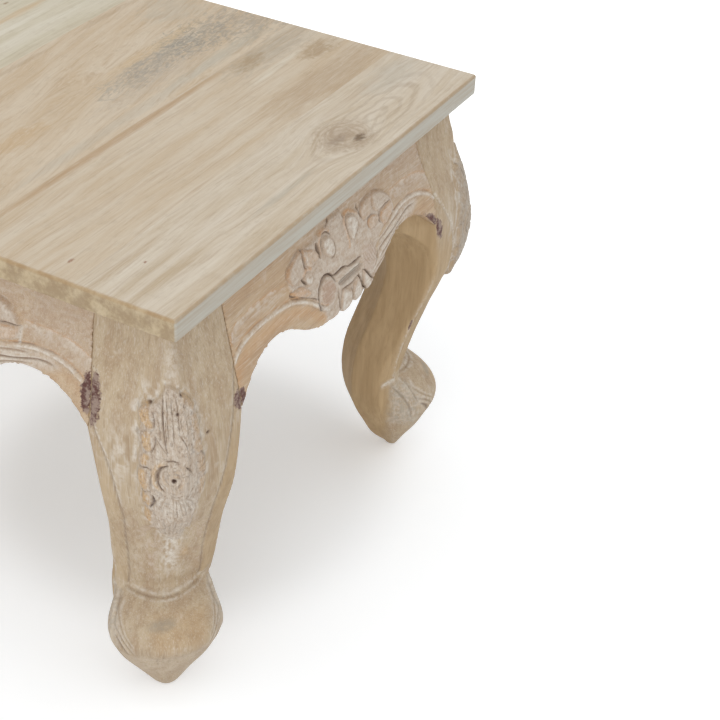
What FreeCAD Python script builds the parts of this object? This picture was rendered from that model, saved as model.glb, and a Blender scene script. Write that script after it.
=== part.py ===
import FreeCAD, Part
import math
import os
import Sketcher

# A square bajot: a low table with a plank top, four aprons cut in a double arch and
# four cabriole legs set on the diagonals. Millimetres, +Z up, the origin on the floor
# under the middle of the top. The side with the first board faces -Y.

Vector = FreeCAD.Vector

# Driving sizes. Heights are measured from the floor, and what is called inward or
# outward is measured from the upright plane through the nearest edge of the top.
SIZES = (
    ("top_width", 500.0),
    ("table_height", 425.0),
    ("top_thickness", 20.0),
    ("first_board_width", 92.0),
    ("second_board_width", 113.0),
    ("third_board_width", 165.0),
    ("top_arris_radius", 2.2),
    ("top_corner_radius", 2.5),
    ("face_inward_at_top", 18.0),
    ("face_outward_at_knee", 9.0),
    ("face_inward_at_ankle", 23.0),
    ("knee_below_top", 129.0),
    ("apron_thickness_at_top", 18.0),
    ("pendant_below_top", 101.0),
    ("pendant_half_width", 50.0),
    ("pendant_corner_rise", 5.0),
    ("arch_crown_below_top", 72.5),
    ("post_width_at_top", 94.0),
    ("post_width_at_joint_foot", 122.0),
    ("joint_foot_below_top", 103.0),
    ("post_depth", 114.0),
    ("post_below_top", 93.0),
    ("knee_point_outward", 7.0),
    ("ankle_point_inward", 57.0),
    ("ankle_height", 113.0),
    ("ankle_width", 83.0),
    ("shin_start_below_top", 165.0),
    ("shin_outward_at_start", 14.0),
    ("shin_inward_at_ankle", 52.0),
    ("sole_front_inward", 56.0),
    ("sole_back_inward", 65.0),
    ("sole_width", 16.0),
    ("heel_inward", 114.0),
    ("heel_height", 98.0),
    ("back_hollow_inward", 84.0),
    ("back_hollow_below_top", 173.0),
    ("back_flat_width", 40.0),
    ("foot_width", 100.0),
    ("tenon_thickness", 10.0),
    ("tenon_inward", 21.0),
    ("tenon_height", 50.0),
    ("tenon_below_top", 14.0),
    ("tenon_reach", 24.0),
    ("tenon_root", 12.0),
    ("mortise_end_gap", 0.5),
    ("corner_block_thickness", 26.0),
    ("corner_block_height", 34.0),
    ("screw_diameter", 5.0),
    ("screw_head_diameter", 9.5),
    ("screw_head_height", 2.6),
    ("screw_point_length", 4.0),
    ("screw_tip_diameter", 0.6),
    ("leg_screw_bite", 24.0),
    ("leg_screw_spread", 44.0),
    ("top_screw_bite", 12.0),
    ("top_screw_spread", 64.0),
    ("cut_overrun", 10.0),
)

# Bends between two named points of an outline: each pair is how far along the first
# and the second direction the curve has come, as shares of the way between them.
TOP_TO_KNEE_FACE_SHARES = ((0.07, 0.155), (0.30, 0.31), (0.52, 0.43), (0.70, 0.54), (0.89, 0.71))
KNEE_TO_ANKLE_FACE_SHARES = ((0.02, 0.14), (0.10, 0.27), (0.42, 0.47), (0.61, 0.59), (0.76, 0.71), (0.89, 0.83))
TOP_TO_KNEE_CORNER_SHARES = ((0.05, 0.19), (0.26, 0.35), (0.57, 0.55), (0.80, 0.74), (0.94, 0.90))
KNEE_TO_ANKLE_CORNER_SHARES = ((0.01, 0.17), (0.20, 0.33), (0.56, 0.47), (0.70, 0.59), (0.80, 0.71), (0.89, 0.83))
SHIN_SHARES = ((0.21, 0.13), (0.44, 0.22), (0.59, 0.31), (0.71, 0.47), (0.80, 0.63), (0.88, 0.79))
SOLE_TO_HEEL_SHARES = ((0.15, 0.08), (0.42, 0.22), (0.63, 0.41), (0.82, 0.59), (0.95, 0.78))
HEEL_TO_HOLLOW_SHARES = ((0.01, 0.11), (0.13, 0.28), (0.33, 0.42), (0.57, 0.57), (0.78, 0.72), (0.93, 0.87))
HOLLOW_TO_POST_SHARES = ((0.08, 0.22), (0.42, 0.60))
JOINT_TO_ANKLE_SHARES = ((0.20, 0.22), (0.33, 0.33), (0.46, 0.43), (0.61, 0.54), (0.77, 0.75), (0.86, 0.86))
ANKLE_TO_SOLE_SHARES = ((0.03, 0.33), (0.06, 0.49), (0.17, 0.65), (0.45, 0.81), (0.78, 0.93))
PENDANT_TO_ARCH_SHARES = ((0.30, 0.35), (0.63, 0.84))
ARCH_TO_JOINT_SHARES = ((0.27, 0.07), (0.56, 0.28), (0.80, 0.60))
ARCH_CROWN_SHARE = 0.53

# The level sections of the rounded foot, from the floor up, as shares of its width:
# height, middle inward from the table's corner, half its depth and half its width.
FOOT_SECTION_SHARES = (
    (0.00, 0.60, 0.06, 0.08),
    (0.08, 0.60, 0.11, 0.15),
    (0.22, 0.61, 0.17, 0.26),
    (0.40, 0.59, 0.25, 0.38),
    (0.58, 0.57, 0.32, 0.46),
    (0.76, 0.59, 0.43, 0.50),
    (0.92, 0.62, 0.38, 0.46),
    (1.08, 0.74, 0.33, 0.41),
    (1.18, 0.81, 0.23, 0.34),
)
FOOT_OVAL_POINTS = 12
SHIN_TURN = 20.0

CORNERS = (
    ("front_left", -1, -1, -135.0),
    ("front_right", 1, -1, -45.0),
    ("back_right", 1, 1, 45.0),
    ("back_left", -1, 1, 135.0),
)
SIDES = (
    ("front", 0, -1, -90.0),
    ("right", 1, 0, 0.0),
    ("back", 0, 1, 90.0),
    ("left", -1, 0, 180.0),
)
BOARD_COUNT = 4
TOLERANCE = 0.001

# An upright sketch that faces along the first axis, and a turn of Z onto that axis.
FACING_OUT = FreeCAD.Rotation(Vector(1, 1, 1), 120.0)
ALONG_FIRST_AXIS = FreeCAD.Rotation(Vector(0, 1, 0), 90.0)


def make_sheet(doc):
    """Write the driving sizes into a spreadsheet, each cell with its own alias."""
    sheet = doc.addObject("Spreadsheet::Sheet", "Sizes")
    for row, (name, size) in enumerate(SIZES, start=1):
        sheet.set("A%d" % row, name)
        sheet.set("B%d" % row, str(size))
        sheet.setAlias("B%d" % row, name)
    doc.recompute()
    return sheet


def origin_plane(body, role):
    """Return one of the body's own origin planes."""
    return next(item for item in body.Origin.OriginFeatures if item.Role == role)


def body_sketch(body, name, role):
    """Start a sketch on one of the body's origin planes."""
    sketch = body.newObject("Sketcher::SketchObject", name)
    sketch.AttachmentSupport = [(origin_plane(body, role), "")]
    sketch.MapMode = "FlatFace"
    return sketch


def place_point(sketch, element, point, across, along):
    """Tie one point of a sketch to the origin by two expressions."""
    for kind, expression, axis in (("DistanceX", across, -2), ("DistanceY", along, -1)):
        if expression == "0":
            sketch.addConstraint(Sketcher.Constraint("PointOnObject", element, point, axis))
        else:
            index = sketch.addConstraint(Sketcher.Constraint(kind, -1, 1, element, point, 1.0))
            sketch.setExpression("Constraints[%d]" % index, expression)


def add_polygon(sketch, corners):
    """Draw a closed polygon whose corners are pairs of expressions, anticlockwise."""
    count = len(corners)
    turn = 2.0 * math.pi / count
    ring = [Vector(math.cos(turn * k), math.sin(turn * k), 0) for k in range(count)]
    for k in range(count):
        sketch.addGeometry(Part.LineSegment(ring[k], ring[(k + 1) % count]), False)
    for k in range(count):
        sketch.addConstraint(Sketcher.Constraint("Coincident", k, 2, (k + 1) % count, 1))
    for k, (across, along) in enumerate(corners):
        place_point(sketch, k, 1, across, along)


def add_hole_circle(sketch, across, along, diameter):
    """Draw one circle placed and sized by expressions."""
    element = sketch.addGeometry(Part.Circle(Vector(0, 0, 0), Vector(0, 0, 1), 1.0), False)
    index = sketch.addConstraint(Sketcher.Constraint("Diameter", element, 1.0))
    sketch.setExpression("Constraints[%d]" % index, diameter)
    place_point(sketch, element, 3, across, along)


def cut_pocket(doc, body, name, sketch, length, reversed_way):
    """Cut a sketch into the body and make sure that material really went."""
    before = body.Shape.Volume
    pocket = body.newObject("PartDesign::Pocket", name)
    pocket.Profile = sketch
    pocket.Reversed = reversed_way
    pocket.setExpression("Length", length)
    doc.recompute()
    if body.Shape.Volume >= before:
        raise RuntimeError(name + " removes nothing")
    return pocket


def between(start, end, shares):
    """Return points from start to end that follow a table of shares of the way."""
    step = (end[0] - start[0], end[1] - start[1])
    middle = [(start[0] + step[0] * a, start[1] + step[1] * b) for a, b in shares]
    return [start] + middle + [end]


def mirrored(points):
    """Return the points mirrored across the second axis, in the opposite order."""
    return [(-across, up) for across, up in reversed(points)]


def underside_height(size):
    """Return the height of the top's underside."""
    return size("table_height") - size("top_thickness")


def below_top(size, name):
    """Return the height of what is measured down from the top's underside."""
    return underside_height(size) - size(name)


def face_curve(size):
    """Return the outer face's section: outward distance and height, from the top down."""
    top = (-size("face_inward_at_top"), underside_height(size))
    knee = (size("face_outward_at_knee"), below_top(size, "knee_below_top"))
    ankle = (-size("face_inward_at_ankle"), size("ankle_height"))
    return between(top, knee, TOP_TO_KNEE_FACE_SHARES) + between(knee, ankle, KNEE_TO_ANKLE_FACE_SHARES)[1:]


def shin_curve(size):
    """Return the section of one front facet of the shin, from the top down."""
    start = (size("shin_outward_at_start"), below_top(size, "shin_start_below_top"))
    ankle = (-size("shin_inward_at_ankle"), size("ankle_height"))
    return between(start, ankle, SHIN_SHARES)


def lower_back_curve(size):
    """Return the back of the leg's side outline, from the sole up to the hollow."""
    sole = (-size("sole_back_inward"), 0.0)
    heel = (-size("heel_inward"), size("heel_height"))
    hollow = (-size("back_hollow_inward"), below_top(size, "back_hollow_below_top"))
    return between(sole, heel, SOLE_TO_HEEL_SHARES) + between(heel, hollow, HEEL_TO_HOLLOW_SHARES)[1:]


def back_facet_curve(size):
    """Return the section of one facet beside the leg's back, from the top down."""
    flat_half = size("back_flat_width") / 2.0
    heel = size("heel_height")
    clear = (size("post_depth") + size("post_width_at_joint_foot")) / math.sqrt(2.0)
    start = (clear, below_top(size, "post_below_top"))
    lower = []
    for outward, height in lower_back_curve(size):
        half = flat_half * math.sqrt(min(height / heel, 1.0))
        lower.append(((half - outward) / math.sqrt(2.0), height))
    return [start] + lower[::-1]


def leg_side_curves(size):
    """Return the leg's side outline as curves: outward from the corner, and height."""
    corner = (-size("face_inward_at_top") * math.sqrt(2.0), underside_height(size))
    knee = (size("knee_point_outward"), below_top(size, "knee_below_top"))
    ankle = (-size("ankle_point_inward"), size("ankle_height"))
    sole_front = (-size("sole_front_inward"), 0.0)
    post_foot = (-size("post_depth"), below_top(size, "post_below_top"))
    post_top = (-size("post_depth"), underside_height(size))
    front = between(corner, knee, TOP_TO_KNEE_CORNER_SHARES)
    front += between(knee, ankle, KNEE_TO_ANKLE_CORNER_SHARES)[1:]
    back = lower_back_curve(size)
    sole_back = back[0]
    back += between(back[-1], post_foot, HOLLOW_TO_POST_SHARES)[1:]
    lines = [[ankle, sole_front], [sole_front, sole_back]]
    return [front] + lines + [back, [post_foot, post_top], [post_top, corner]]


def leg_front_curves(size):
    """Return the leg's front outline as curves: across the diagonal, and height."""
    top = (size("post_width_at_top") / 2.0, underside_height(size))
    joint = (size("post_width_at_joint_foot") / 2.0, below_top(size, "joint_foot_below_top"))
    ankle = (size("ankle_width") / 2.0, size("ankle_height"))
    sole = (size("sole_width") / 2.0, 0.0)
    shin = between(joint, ankle, JOINT_TO_ANKLE_SHARES) + between(ankle, sole, ANKLE_TO_SOLE_SHARES)[1:]
    right = [[top, joint], shin]
    left = [mirrored(curve) for curve in reversed(right)]
    return right + [[sole, left[0][0]]] + left + [[left[-1][-1], top]]


def arch_curves(size):
    """Return an apron's outline as curves: along from its middle, and height."""
    underside = underside_height(size)
    pendant = below_top(size, "pendant_below_top")
    middle = (0.0, pendant)
    corner = (size("pendant_half_width"), pendant + size("pendant_corner_rise"))
    joint = size("top_width") / 2.0 - size("post_width_at_joint_foot") / math.sqrt(2.0)
    end_height = below_top(size, "joint_foot_below_top") - size("pendant_corner_rise")
    end = (joint + size("face_outward_at_knee"), end_height)
    crown_along = corner[0] + (end[0] - corner[0]) * ARCH_CROWN_SHARE
    crown = (crown_along, below_top(size, "arch_crown_below_top"))
    half = [middle] + between(corner, crown, PENDANT_TO_ARCH_SHARES)
    half += between(crown, end, ARCH_TO_JOINT_SHARES)[1:]
    edge = mirrored(half[1:]) + half
    outer_end = size("top_width") / 2.0
    lines = [[edge[-1], (outer_end, end[1])], [(outer_end, end[1]), (outer_end, underside)]]
    lines += [[(outer_end, underside), (-outer_end, underside)]]
    lines += [[(-outer_end, underside), (-outer_end, end[1])], [(-outer_end, end[1]), edge[0]]]
    return [edge] + lines


def curve_sketch(doc, name, rotation, curves):
    """Draw curves, each through its points, as one closed outline in a turned sketch."""
    sketch = doc.addObject("Sketcher::SketchObject", name)
    sketch.Placement = FreeCAD.Placement(Vector(0, 0, 0), rotation)
    for points in curves:
        corners = [Vector(across, up, 0) for across, up in points]
        if len(corners) == 2:
            sketch.addGeometry(Part.LineSegment(corners[0], corners[1]), False)
        else:
            spline = Part.BSplineCurve()
            spline.interpolate(corners)
            sketch.addGeometry(spline, False)
    return sketch


def extruded(doc, name, sketch, direction, length):
    """Extrude a sketch both ways along a direction by a length given as an expression."""
    form = doc.addObject("Part::Extrusion", name)
    form.Base = sketch
    form.DirMode = "Custom"
    form.Dir = direction
    form.Solid = True
    form.Symmetric = True
    form.setExpression("LengthFwd", length)
    return form


def upright(turn):
    """Return the rotation of an upright sketch whose first axis is turned about Z."""
    return FreeCAD.Rotation(Vector(0, 0, 1), turn) * FreeCAD.Rotation(Vector(1, 0, 0), 90.0)


def bind_place(item, across, along, up, rotation):
    """Turn an object and tie its place to the sizes by expressions."""
    item.Placement = FreeCAD.Placement(Vector(0, 0, 0), rotation)
    for axis, expression in (("x", across), ("y", along), ("z", up)):
        if expression != "0":
            item.setExpression("Placement.Base." + axis, expression)


def about_z(turn):
    """Return a rotation about the upright axis, in degrees."""
    return FreeCAD.Rotation(Vector(0, 0, 1), turn)


def signed(sign, expression):
    """Return an expression multiplied by a sign, or a plain zero."""
    return "0" if sign == 0 else "%d * (%s)" % (sign, expression)


def post_along():
    """Return how far along a side, from the table's corner, a tenon meets the leg."""
    return "(Sizes.tenon_inward + Sizes.post_width_at_top / sqrt(2))"


def tenon_box(doc, name, end, gap, from_corner):
    """Make the box of a stub tenon at one end of a side, in the side's own frame."""
    box = doc.addObject("Part::Box", name)
    reach = "(Sizes.tenon_reach + %s)" % gap
    box.setExpression("Length", "Sizes.tenon_thickness")
    box.setExpression("Width", "Sizes.tenon_root + " + reach)
    box.setExpression("Height", "Sizes.tenon_height")
    inner = "-Sizes.tenon_inward - Sizes.tenon_thickness"
    near = "%s - %s" % (post_along(), reach)
    far = "%s + Sizes.tenon_root" % post_along()
    bottom = "Sizes.table_height - Sizes.top_thickness - Sizes.tenon_below_top - Sizes.tenon_height"
    if from_corner:
        along = near if end < 0 else "-(%s)" % far
    else:
        along = "Sizes.top_width / 2 - (%s)" % far if end > 0 else "%s - Sizes.top_width / 2" % near
    bind_place(box, inner, along, bottom, about_z(0.0))
    return box


def turned_copy(doc, name, base, turn):
    """Return a copy of a form turned about the upright axis."""
    copy = doc.addObject("Part::Compound", name)
    copy.Links = [base]
    copy.Placement = FreeCAD.Placement(Vector(0, 0, 0), about_z(turn))
    return copy


def make_form(doc, size, name, points, back, turn, length):
    """Make the solid behind a curved upright face, whose curve is given from the top down."""
    underside = underside_height(size)
    curves = [points]
    start = points[0]
    if start[1] < underside:
        start = (points[0][0], underside)
        curves = [[start, points[0]], points]
    foot = points[-1]
    if foot[1] > 0.0:
        foot = (points[-1][0], 0.0)
        curves += [[points[-1], foot]]
    curves += [[foot, (back, 0.0)], [(back, 0.0), (back, underside)], [(back, underside), start]]
    sketch = curve_sketch(doc, name + "_outline", upright(turn), curves)
    along = about_z(turn).multVec(Vector(0, 1, 0))
    return extruded(doc, name, sketch, along, length)


def make_rounded_foot(doc, size):
    """Make the egg-shaped foot as a loft through level ovals that start at the back."""
    sections = []
    width = size("foot_width")
    step = 2.0 * math.pi / FOOT_OVAL_POINTS
    for number, (height, inward, half_depth, half_width) in enumerate(FOOT_SECTION_SHARES, start=1):
        middle = Vector(-inward * width, 0, 0)
        ring = [Vector(-half_depth * math.cos(step * k), -half_width * math.sin(step * k), 0) * width
                for k in range(FOOT_OVAL_POINTS)]
        oval = Part.BSplineCurve()
        oval.interpolate(Points=[middle + point for point in ring], PeriodicFlag=True)
        sketch = doc.addObject("Sketcher::SketchObject", "foot_section_%d" % number)
        sketch.addGeometry(oval, False)
        sketch.setExpression("Placement.Base.z", "%f * Sizes.foot_width" % height)
        sections.append(sketch)
    foot = doc.addObject("Part::Loft", "rounded_foot")
    foot.Sections = sections
    foot.Solid = True
    foot.Ruled = False
    return foot


def make_leg_forms(doc, size):
    """Make the forms whose common part is a leg, in the frame of the table's corner.

    The first axis points outward along the diagonal.
    """
    length = "4 * Sizes.post_depth"
    side_sketch = curve_sketch(doc, "leg_side_outline", upright(0.0), leg_side_curves(size))
    side = extruded(doc, "leg_side_form", side_sketch, Vector(0, 1, 0), length)
    front_sketch = curve_sketch(doc, "leg_front_outline", FACING_OUT, leg_front_curves(size))
    front = extruded(doc, "leg_front_form", front_sketch, Vector(1, 0, 0), length)
    forms = [side, front]
    behind = -2.0 * size("post_depth")
    for side_name, way in (("a", 1.0), ("b", -1.0)):
        forms.append(make_form(doc, size, "leg_face_" + side_name, face_curve(size), behind, way * 45.0, length))
        forms.append(make_form(doc, size, "leg_shin_" + side_name, shin_curve(size), behind, way * SHIN_TURN, length))
        forms.append(make_form(doc, size, "leg_back_" + side_name, back_facet_curve(size), behind, way * 135.0, length))
    return forms


def make_leg_cuts(doc):
    """Make what is cut from every leg: two mortises and the holes of two screws."""
    cuts = []
    for name, end, turn in (("mortise_a", -1, 45.0), ("mortise_b", 1, -45.0)):
        box = tenon_box(doc, name + "_box", end, "Sizes.mortise_end_gap", True)
        cuts.append(turned_copy(doc, name, box, turn))
    for name, sign in (("leg_screw_hole_a", -1), ("leg_screw_hole_b", 1)):
        hole = doc.addObject("Part::Cylinder", name)
        hole.setExpression("Radius", "Sizes.screw_diameter / 2")
        hole.setExpression("Height", "Sizes.leg_screw_bite + Sizes.cut_overrun")
        bind_place(hole, "-Sizes.post_depth - Sizes.cut_overrun",
                   signed(sign, "Sizes.leg_screw_spread / 2"), leg_screw_height(), ALONG_FIRST_AXIS)
        cuts.append(hole)
    return cuts


def make_legs(doc, size):
    """Make the four legs, one at each corner."""
    blank = doc.addObject("Part::MultiCommon", "leg_blank")
    blank.Shapes = make_leg_forms(doc, size)
    footed = doc.addObject("Part::MultiFuse", "leg_with_foot")
    footed.Shapes = [blank, make_rounded_foot(doc, size)]
    cuts = doc.addObject("Part::Compound", "leg_cuts")
    cuts.Links = make_leg_cuts(doc)
    legs = []
    for name, sign_x, sign_y, turn in CORNERS:
        leg = doc.addObject("Part::Cut", "leg_" + name)
        leg.Base = footed
        leg.Tool = cuts
        leg.Label = "leg_" + name
        bind_place(leg, signed(sign_x, "Sizes.top_width / 2"), signed(sign_y, "Sizes.top_width / 2"),
                   "0", about_z(turn))
        legs.append(leg)
    return legs


def make_aprons(doc, size):
    """Make the four aprons, cut in a double arch and trimmed to the sides of the legs."""
    back = -size("face_inward_at_top") - size("apron_thickness_at_top")
    section = make_form(doc, size, "apron_section_form", face_curve(size), back, 0.0, "2 * Sizes.top_width")
    arch_sketch = curve_sketch(doc, "apron_arch_outline", FACING_OUT, arch_curves(size))
    arch = extruded(doc, "apron_arch_form", arch_sketch, Vector(1, 0, 0), "2 * Sizes.top_width")
    blank = doc.addObject("Part::MultiCommon", "apron_blank")
    blank.Shapes = [section, arch]
    posts = []
    for name, end in (("post_at_start", -1), ("post_at_end", 1)):
        sketch = curve_sketch(doc, name + "_outline", about_z(end * 45.0) * FACING_OUT,
                              leg_front_curves(size))
        sketch.setExpression("Placement.Base.y", signed(end, "Sizes.top_width / 2"))
        diagonal = about_z(end * 45.0).multVec(Vector(1, 0, 0))
        posts.append(extruded(doc, name, sketch, diagonal, "4 * Sizes.post_depth"))
    both_posts = doc.addObject("Part::Compound", "apron_end_cuts")
    both_posts.Links = posts
    trimmed = doc.addObject("Part::Cut", "apron_trimmed")
    trimmed.Base = blank
    trimmed.Tool = both_posts
    tenons = [tenon_box(doc, "tenon_at_start", -1, "0", False), tenon_box(doc, "tenon_at_end", 1, "0", False)]
    aprons = []
    for name, sign_x, sign_y, turn in SIDES:
        apron = doc.addObject("Part::MultiFuse", "apron_" + name)
        apron.Shapes = [trimmed] + tenons
        apron.Label = "apron_" + name
        bind_place(apron, signed(sign_x, "Sizes.top_width / 2"), signed(sign_y, "Sizes.top_width / 2"),
                   "0", about_z(turn))
        aprons.append(apron)
    return aprons


def corner_point(sign_x, sign_y, turn, outward, across):
    """Return a point of one corner's frame as two expressions in the table's frame."""
    cosine = round(math.cos(math.radians(turn)) * math.sqrt(2.0))
    sine = round(math.sin(math.radians(turn)) * math.sqrt(2.0))
    step_x = "(%d * (%s) - %d * (%s)) / sqrt(2)" % (cosine, outward, sine, across)
    step_y = "(%d * (%s) + %d * (%s)) / sqrt(2)" % (sine, outward, cosine, across)
    half = "Sizes.top_width / 2"
    return signed(sign_x, half) + " + " + step_x, signed(sign_y, half) + " + " + step_y


def leg_screw_height():
    """Return the height of the screws between corner block and leg."""
    return "Sizes.table_height - Sizes.top_thickness - Sizes.corner_block_height / 2"


def outer_edges(shape, half_width, near_edge, far_edge, thickness):
    """Name the level edges that lie on the outside of the table top."""
    names = []
    for index, edge in enumerate(shape.Edges, start=1):
        box = edge.BoundBox
        level = box.ZLength < TOLERANCE
        on_skin = box.ZMin < TOLERANCE or box.ZMax > thickness - TOLERANCE
        at_end = abs(abs(box.XMin) - half_width) < TOLERANCE and box.XLength < TOLERANCE
        at_near = near_edge is not None and abs(box.YMin - near_edge) < TOLERANCE and box.YLength < TOLERANCE
        at_far = far_edge is not None and abs(box.YMax - far_edge) < TOLERANCE and box.YLength < TOLERANCE
        if level and on_skin and (at_end or at_near or at_far):
            names.append("Edge%d" % index)
    return names


def corner_edges(shape, corner_line):
    """Name the upright edges at the outer corners of a board."""
    names = []
    for index, edge in enumerate(shape.Edges, start=1):
        box = edge.BoundBox
        upright_edge = box.XLength < TOLERANCE and box.YLength < TOLERANCE
        if upright_edge and abs(box.YMin - corner_line) < TOLERANCE:
            names.append("Edge%d" % index)
    return names


def make_board(doc, size, number, start, width, holes):
    """Make one board of the top: its long edges run along X, from start towards +Y."""
    body = doc.addObject("PartDesign::Body", "Board%d" % number)
    sketch = body_sketch(body, "BoardOutline%d" % number, "XY_Plane")
    half = "Sizes.top_width / 2"
    add_polygon(sketch, [("-" + half, "0"), (half, "0"), (half, width), ("-" + half, width)])
    pad = body.newObject("PartDesign::Pad", "BoardThickness%d" % number)
    pad.Profile = sketch
    pad.setExpression("Length", "Sizes.top_thickness")
    doc.recompute()
    near_edge = 0.0 if number == 1 else None
    far_edge = pad.Shape.BoundBox.YMax if number == BOARD_COUNT else None
    base = pad
    corner_line = near_edge if near_edge is not None else far_edge
    if corner_line is not None:
        corners = body.newObject("PartDesign::Fillet", "BoardCorners%d" % number)
        corners.Base = (base, corner_edges(base.Shape, corner_line))
        corners.setExpression("Radius", "Sizes.top_corner_radius")
        doc.recompute()
        base = corners
    arris = body.newObject("PartDesign::Fillet", "BoardArris%d" % number)
    edges = outer_edges(base.Shape, size("top_width") / 2.0, near_edge, far_edge, size("top_thickness"))
    arris.Base = (base, edges)
    arris.setExpression("Radius", "Sizes.top_arris_radius")
    doc.recompute()
    bind_place(body, "0", start + " - Sizes.top_width / 2", "Sizes.table_height - Sizes.top_thickness",
               about_z(0.0))
    board = doc.addObject("Part::Cut", "DrilledBoard%d" % number)
    board.Base = body
    board.Tool = holes
    board.Label = "top_board_%d" % number
    return board


def make_pilot_holes(doc):
    """Make the blind holes that the screws of every corner need in the top."""
    holes = doc.addObject("Part::Compound", "top_pilot_holes")
    cylinders = []
    for name, sign_x, sign_y, turn in CORNERS:
        for number, sign in ((1, -1), (2, 1)):
            hole = doc.addObject("Part::Cylinder", "top_pilot_hole_%s_%d" % (name, number))
            hole.setExpression("Radius", "Sizes.screw_diameter / 2")
            hole.setExpression("Height", "Sizes.top_screw_bite + Sizes.cut_overrun")
            across = signed(sign, "Sizes.top_screw_spread / 2")
            place_x, place_y = corner_point(sign_x, sign_y, turn, block_middle(), across)
            bottom = "Sizes.table_height - Sizes.top_thickness - Sizes.cut_overrun"
            bind_place(hole, place_x, place_y, bottom, about_z(0.0))
            cylinders.append(hole)
    holes.Links = cylinders
    return holes


def make_boards(doc, size):
    """Make the boards of the top."""
    holes = make_pilot_holes(doc)
    second_start = "Sizes.first_board_width"
    third_start = second_start + " + Sizes.second_board_width"
    last_start = third_start + " + Sizes.third_board_width"
    last_width = "Sizes.top_width - (%s)" % last_start
    return [
        make_board(doc, size, 1, "0", "Sizes.first_board_width", holes),
        make_board(doc, size, 2, second_start, "Sizes.second_board_width", holes),
        make_board(doc, size, 3, third_start, "Sizes.third_board_width", holes),
        make_board(doc, size, 4, last_start, last_width, holes),
    ]


def block_middle():
    """Return where a corner block's middle line stands on the corner's diagonal."""
    return "-(Sizes.post_depth + Sizes.corner_block_thickness / 2)"


def make_corner_block(doc, name, sign_x, sign_y, turn):
    """Make the block behind one leg, fitted between the inner faces of two aprons."""
    body = doc.addObject("PartDesign::Body", "CornerBlock_" + name)
    body.Label = "corner_block_" + name
    inner = "(Sizes.face_inward_at_top + Sizes.apron_thickness_at_top) * sqrt(2)"
    front = "Sizes.post_depth"
    back = "(Sizes.post_depth + Sizes.corner_block_thickness)"
    front_half = "(%s - %s)" % (front, inner)
    back_half = "(%s - %s)" % (back, inner)
    outline = body_sketch(body, "BlockOutline_" + name, "XY_Plane")
    add_polygon(outline, [("-" + front, front_half), ("-" + back, back_half),
                          ("-" + back, "-" + back_half), ("-" + front, "-" + front_half)])
    pad = body.newObject("PartDesign::Pad", "BlockHeight_" + name)
    pad.Profile = outline
    pad.setExpression("Length", "Sizes.corner_block_height")
    doc.recompute()
    leg_holes = body_sketch(body, "LegScrewCircles_" + name, "YZ_Plane")
    top_holes = body_sketch(body, "TopScrewCircles_" + name, "XY_Plane")
    for sign in (-1, 1):
        add_hole_circle(leg_holes, signed(sign, "Sizes.leg_screw_spread / 2"),
                        "Sizes.corner_block_height / 2", "Sizes.screw_diameter")
        add_hole_circle(top_holes, block_middle(), signed(sign, "Sizes.top_screw_spread / 2"), "Sizes.screw_diameter")
    doc.recompute()
    cut_pocket(doc, body, "LegScrewHoles_" + name, leg_holes, back + " + Sizes.cut_overrun", False)
    cut_pocket(doc, body, "TopScrewHoles_" + name, top_holes, "Sizes.corner_block_height", True)
    bind_place(body, signed(sign_x, "Sizes.top_width / 2"), signed(sign_y, "Sizes.top_width / 2"),
               "Sizes.table_height - Sizes.top_thickness - Sizes.corner_block_height", about_z(turn))
    return body


def make_screw(doc, label, length):
    """Make a round-headed wood screw along its own Z, with the head below zero."""
    body = doc.addObject("PartDesign::Body", "Screw_" + label)
    body.Label = label
    sketch = body_sketch(body, "ScrewSection_" + label, "XZ_Plane")
    head = "Sizes.screw_head_diameter / 2"
    shank = "Sizes.screw_diameter / 2"
    tip = "Sizes.screw_tip_diameter / 2"
    add_polygon(sketch, [
        ("0", "-Sizes.screw_head_height"), (shank, "-Sizes.screw_head_height"),
        (head, "-Sizes.screw_head_height / 2"), (head, "0"), (shank, "0"),
        (shank, length + " - Sizes.screw_point_length"), (tip, length), ("0", length),
    ])
    doc.recompute()
    turned = body.newObject("PartDesign::Revolution", "ScrewTurned_" + label)
    turned.Profile = sketch
    turned.ReferenceAxis = (sketch, ["V_Axis"])
    turned.Angle = 360.0
    return body


def make_screws(doc):
    """Make the screws of every corner: two into the leg and two up into the top."""
    screws = []
    block_back = "-(Sizes.post_depth + Sizes.corner_block_thickness)"
    block_bottom = "Sizes.table_height - Sizes.top_thickness - Sizes.corner_block_height"
    for name, sign_x, sign_y, turn in CORNERS:
        for number, sign in ((1, -1), (2, 1)):
            leg_screw = make_screw(doc, "leg_screw_%s_%d" % (name, number),
                                   "(Sizes.corner_block_thickness + Sizes.leg_screw_bite)")
            across = signed(sign, "Sizes.leg_screw_spread / 2")
            place_x, place_y = corner_point(sign_x, sign_y, turn, block_back, across)
            bind_place(leg_screw, place_x, place_y, leg_screw_height(), about_z(turn) * ALONG_FIRST_AXIS)
            top_screw = make_screw(doc, "top_screw_%s_%d" % (name, number),
                                   "(Sizes.corner_block_height + Sizes.top_screw_bite)")
            across = signed(sign, "Sizes.top_screw_spread / 2")
            place_x, place_y = corner_point(sign_x, sign_y, turn, block_middle(), across)
            bind_place(top_screw, place_x, place_y, block_bottom, about_z(0.0))
            screws += [leg_screw, top_screw]
    return screws


def check_and_write(doc, parts):
    """Check every object and every sub-part, then write each sub-part to its own file."""
    for item in doc.Objects:
        if "Invalid" in item.State or "Error" in item.State:
            raise RuntimeError(item.Name + " failed to compute")
    for part in parts:
        if part.Shape.isNull() or not part.Shape.isValid():
            raise RuntimeError(part.Label + " has no valid shape")
    os.makedirs("parts", exist_ok=True)
    for part in parts:
        part.Shape.exportStep(os.path.join("parts", part.Label + ".step"))
        print("%-24s %2d solid, %9.0f mm3" % (part.Label, len(part.Shape.Solids), part.Shape.Volume))


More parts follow.
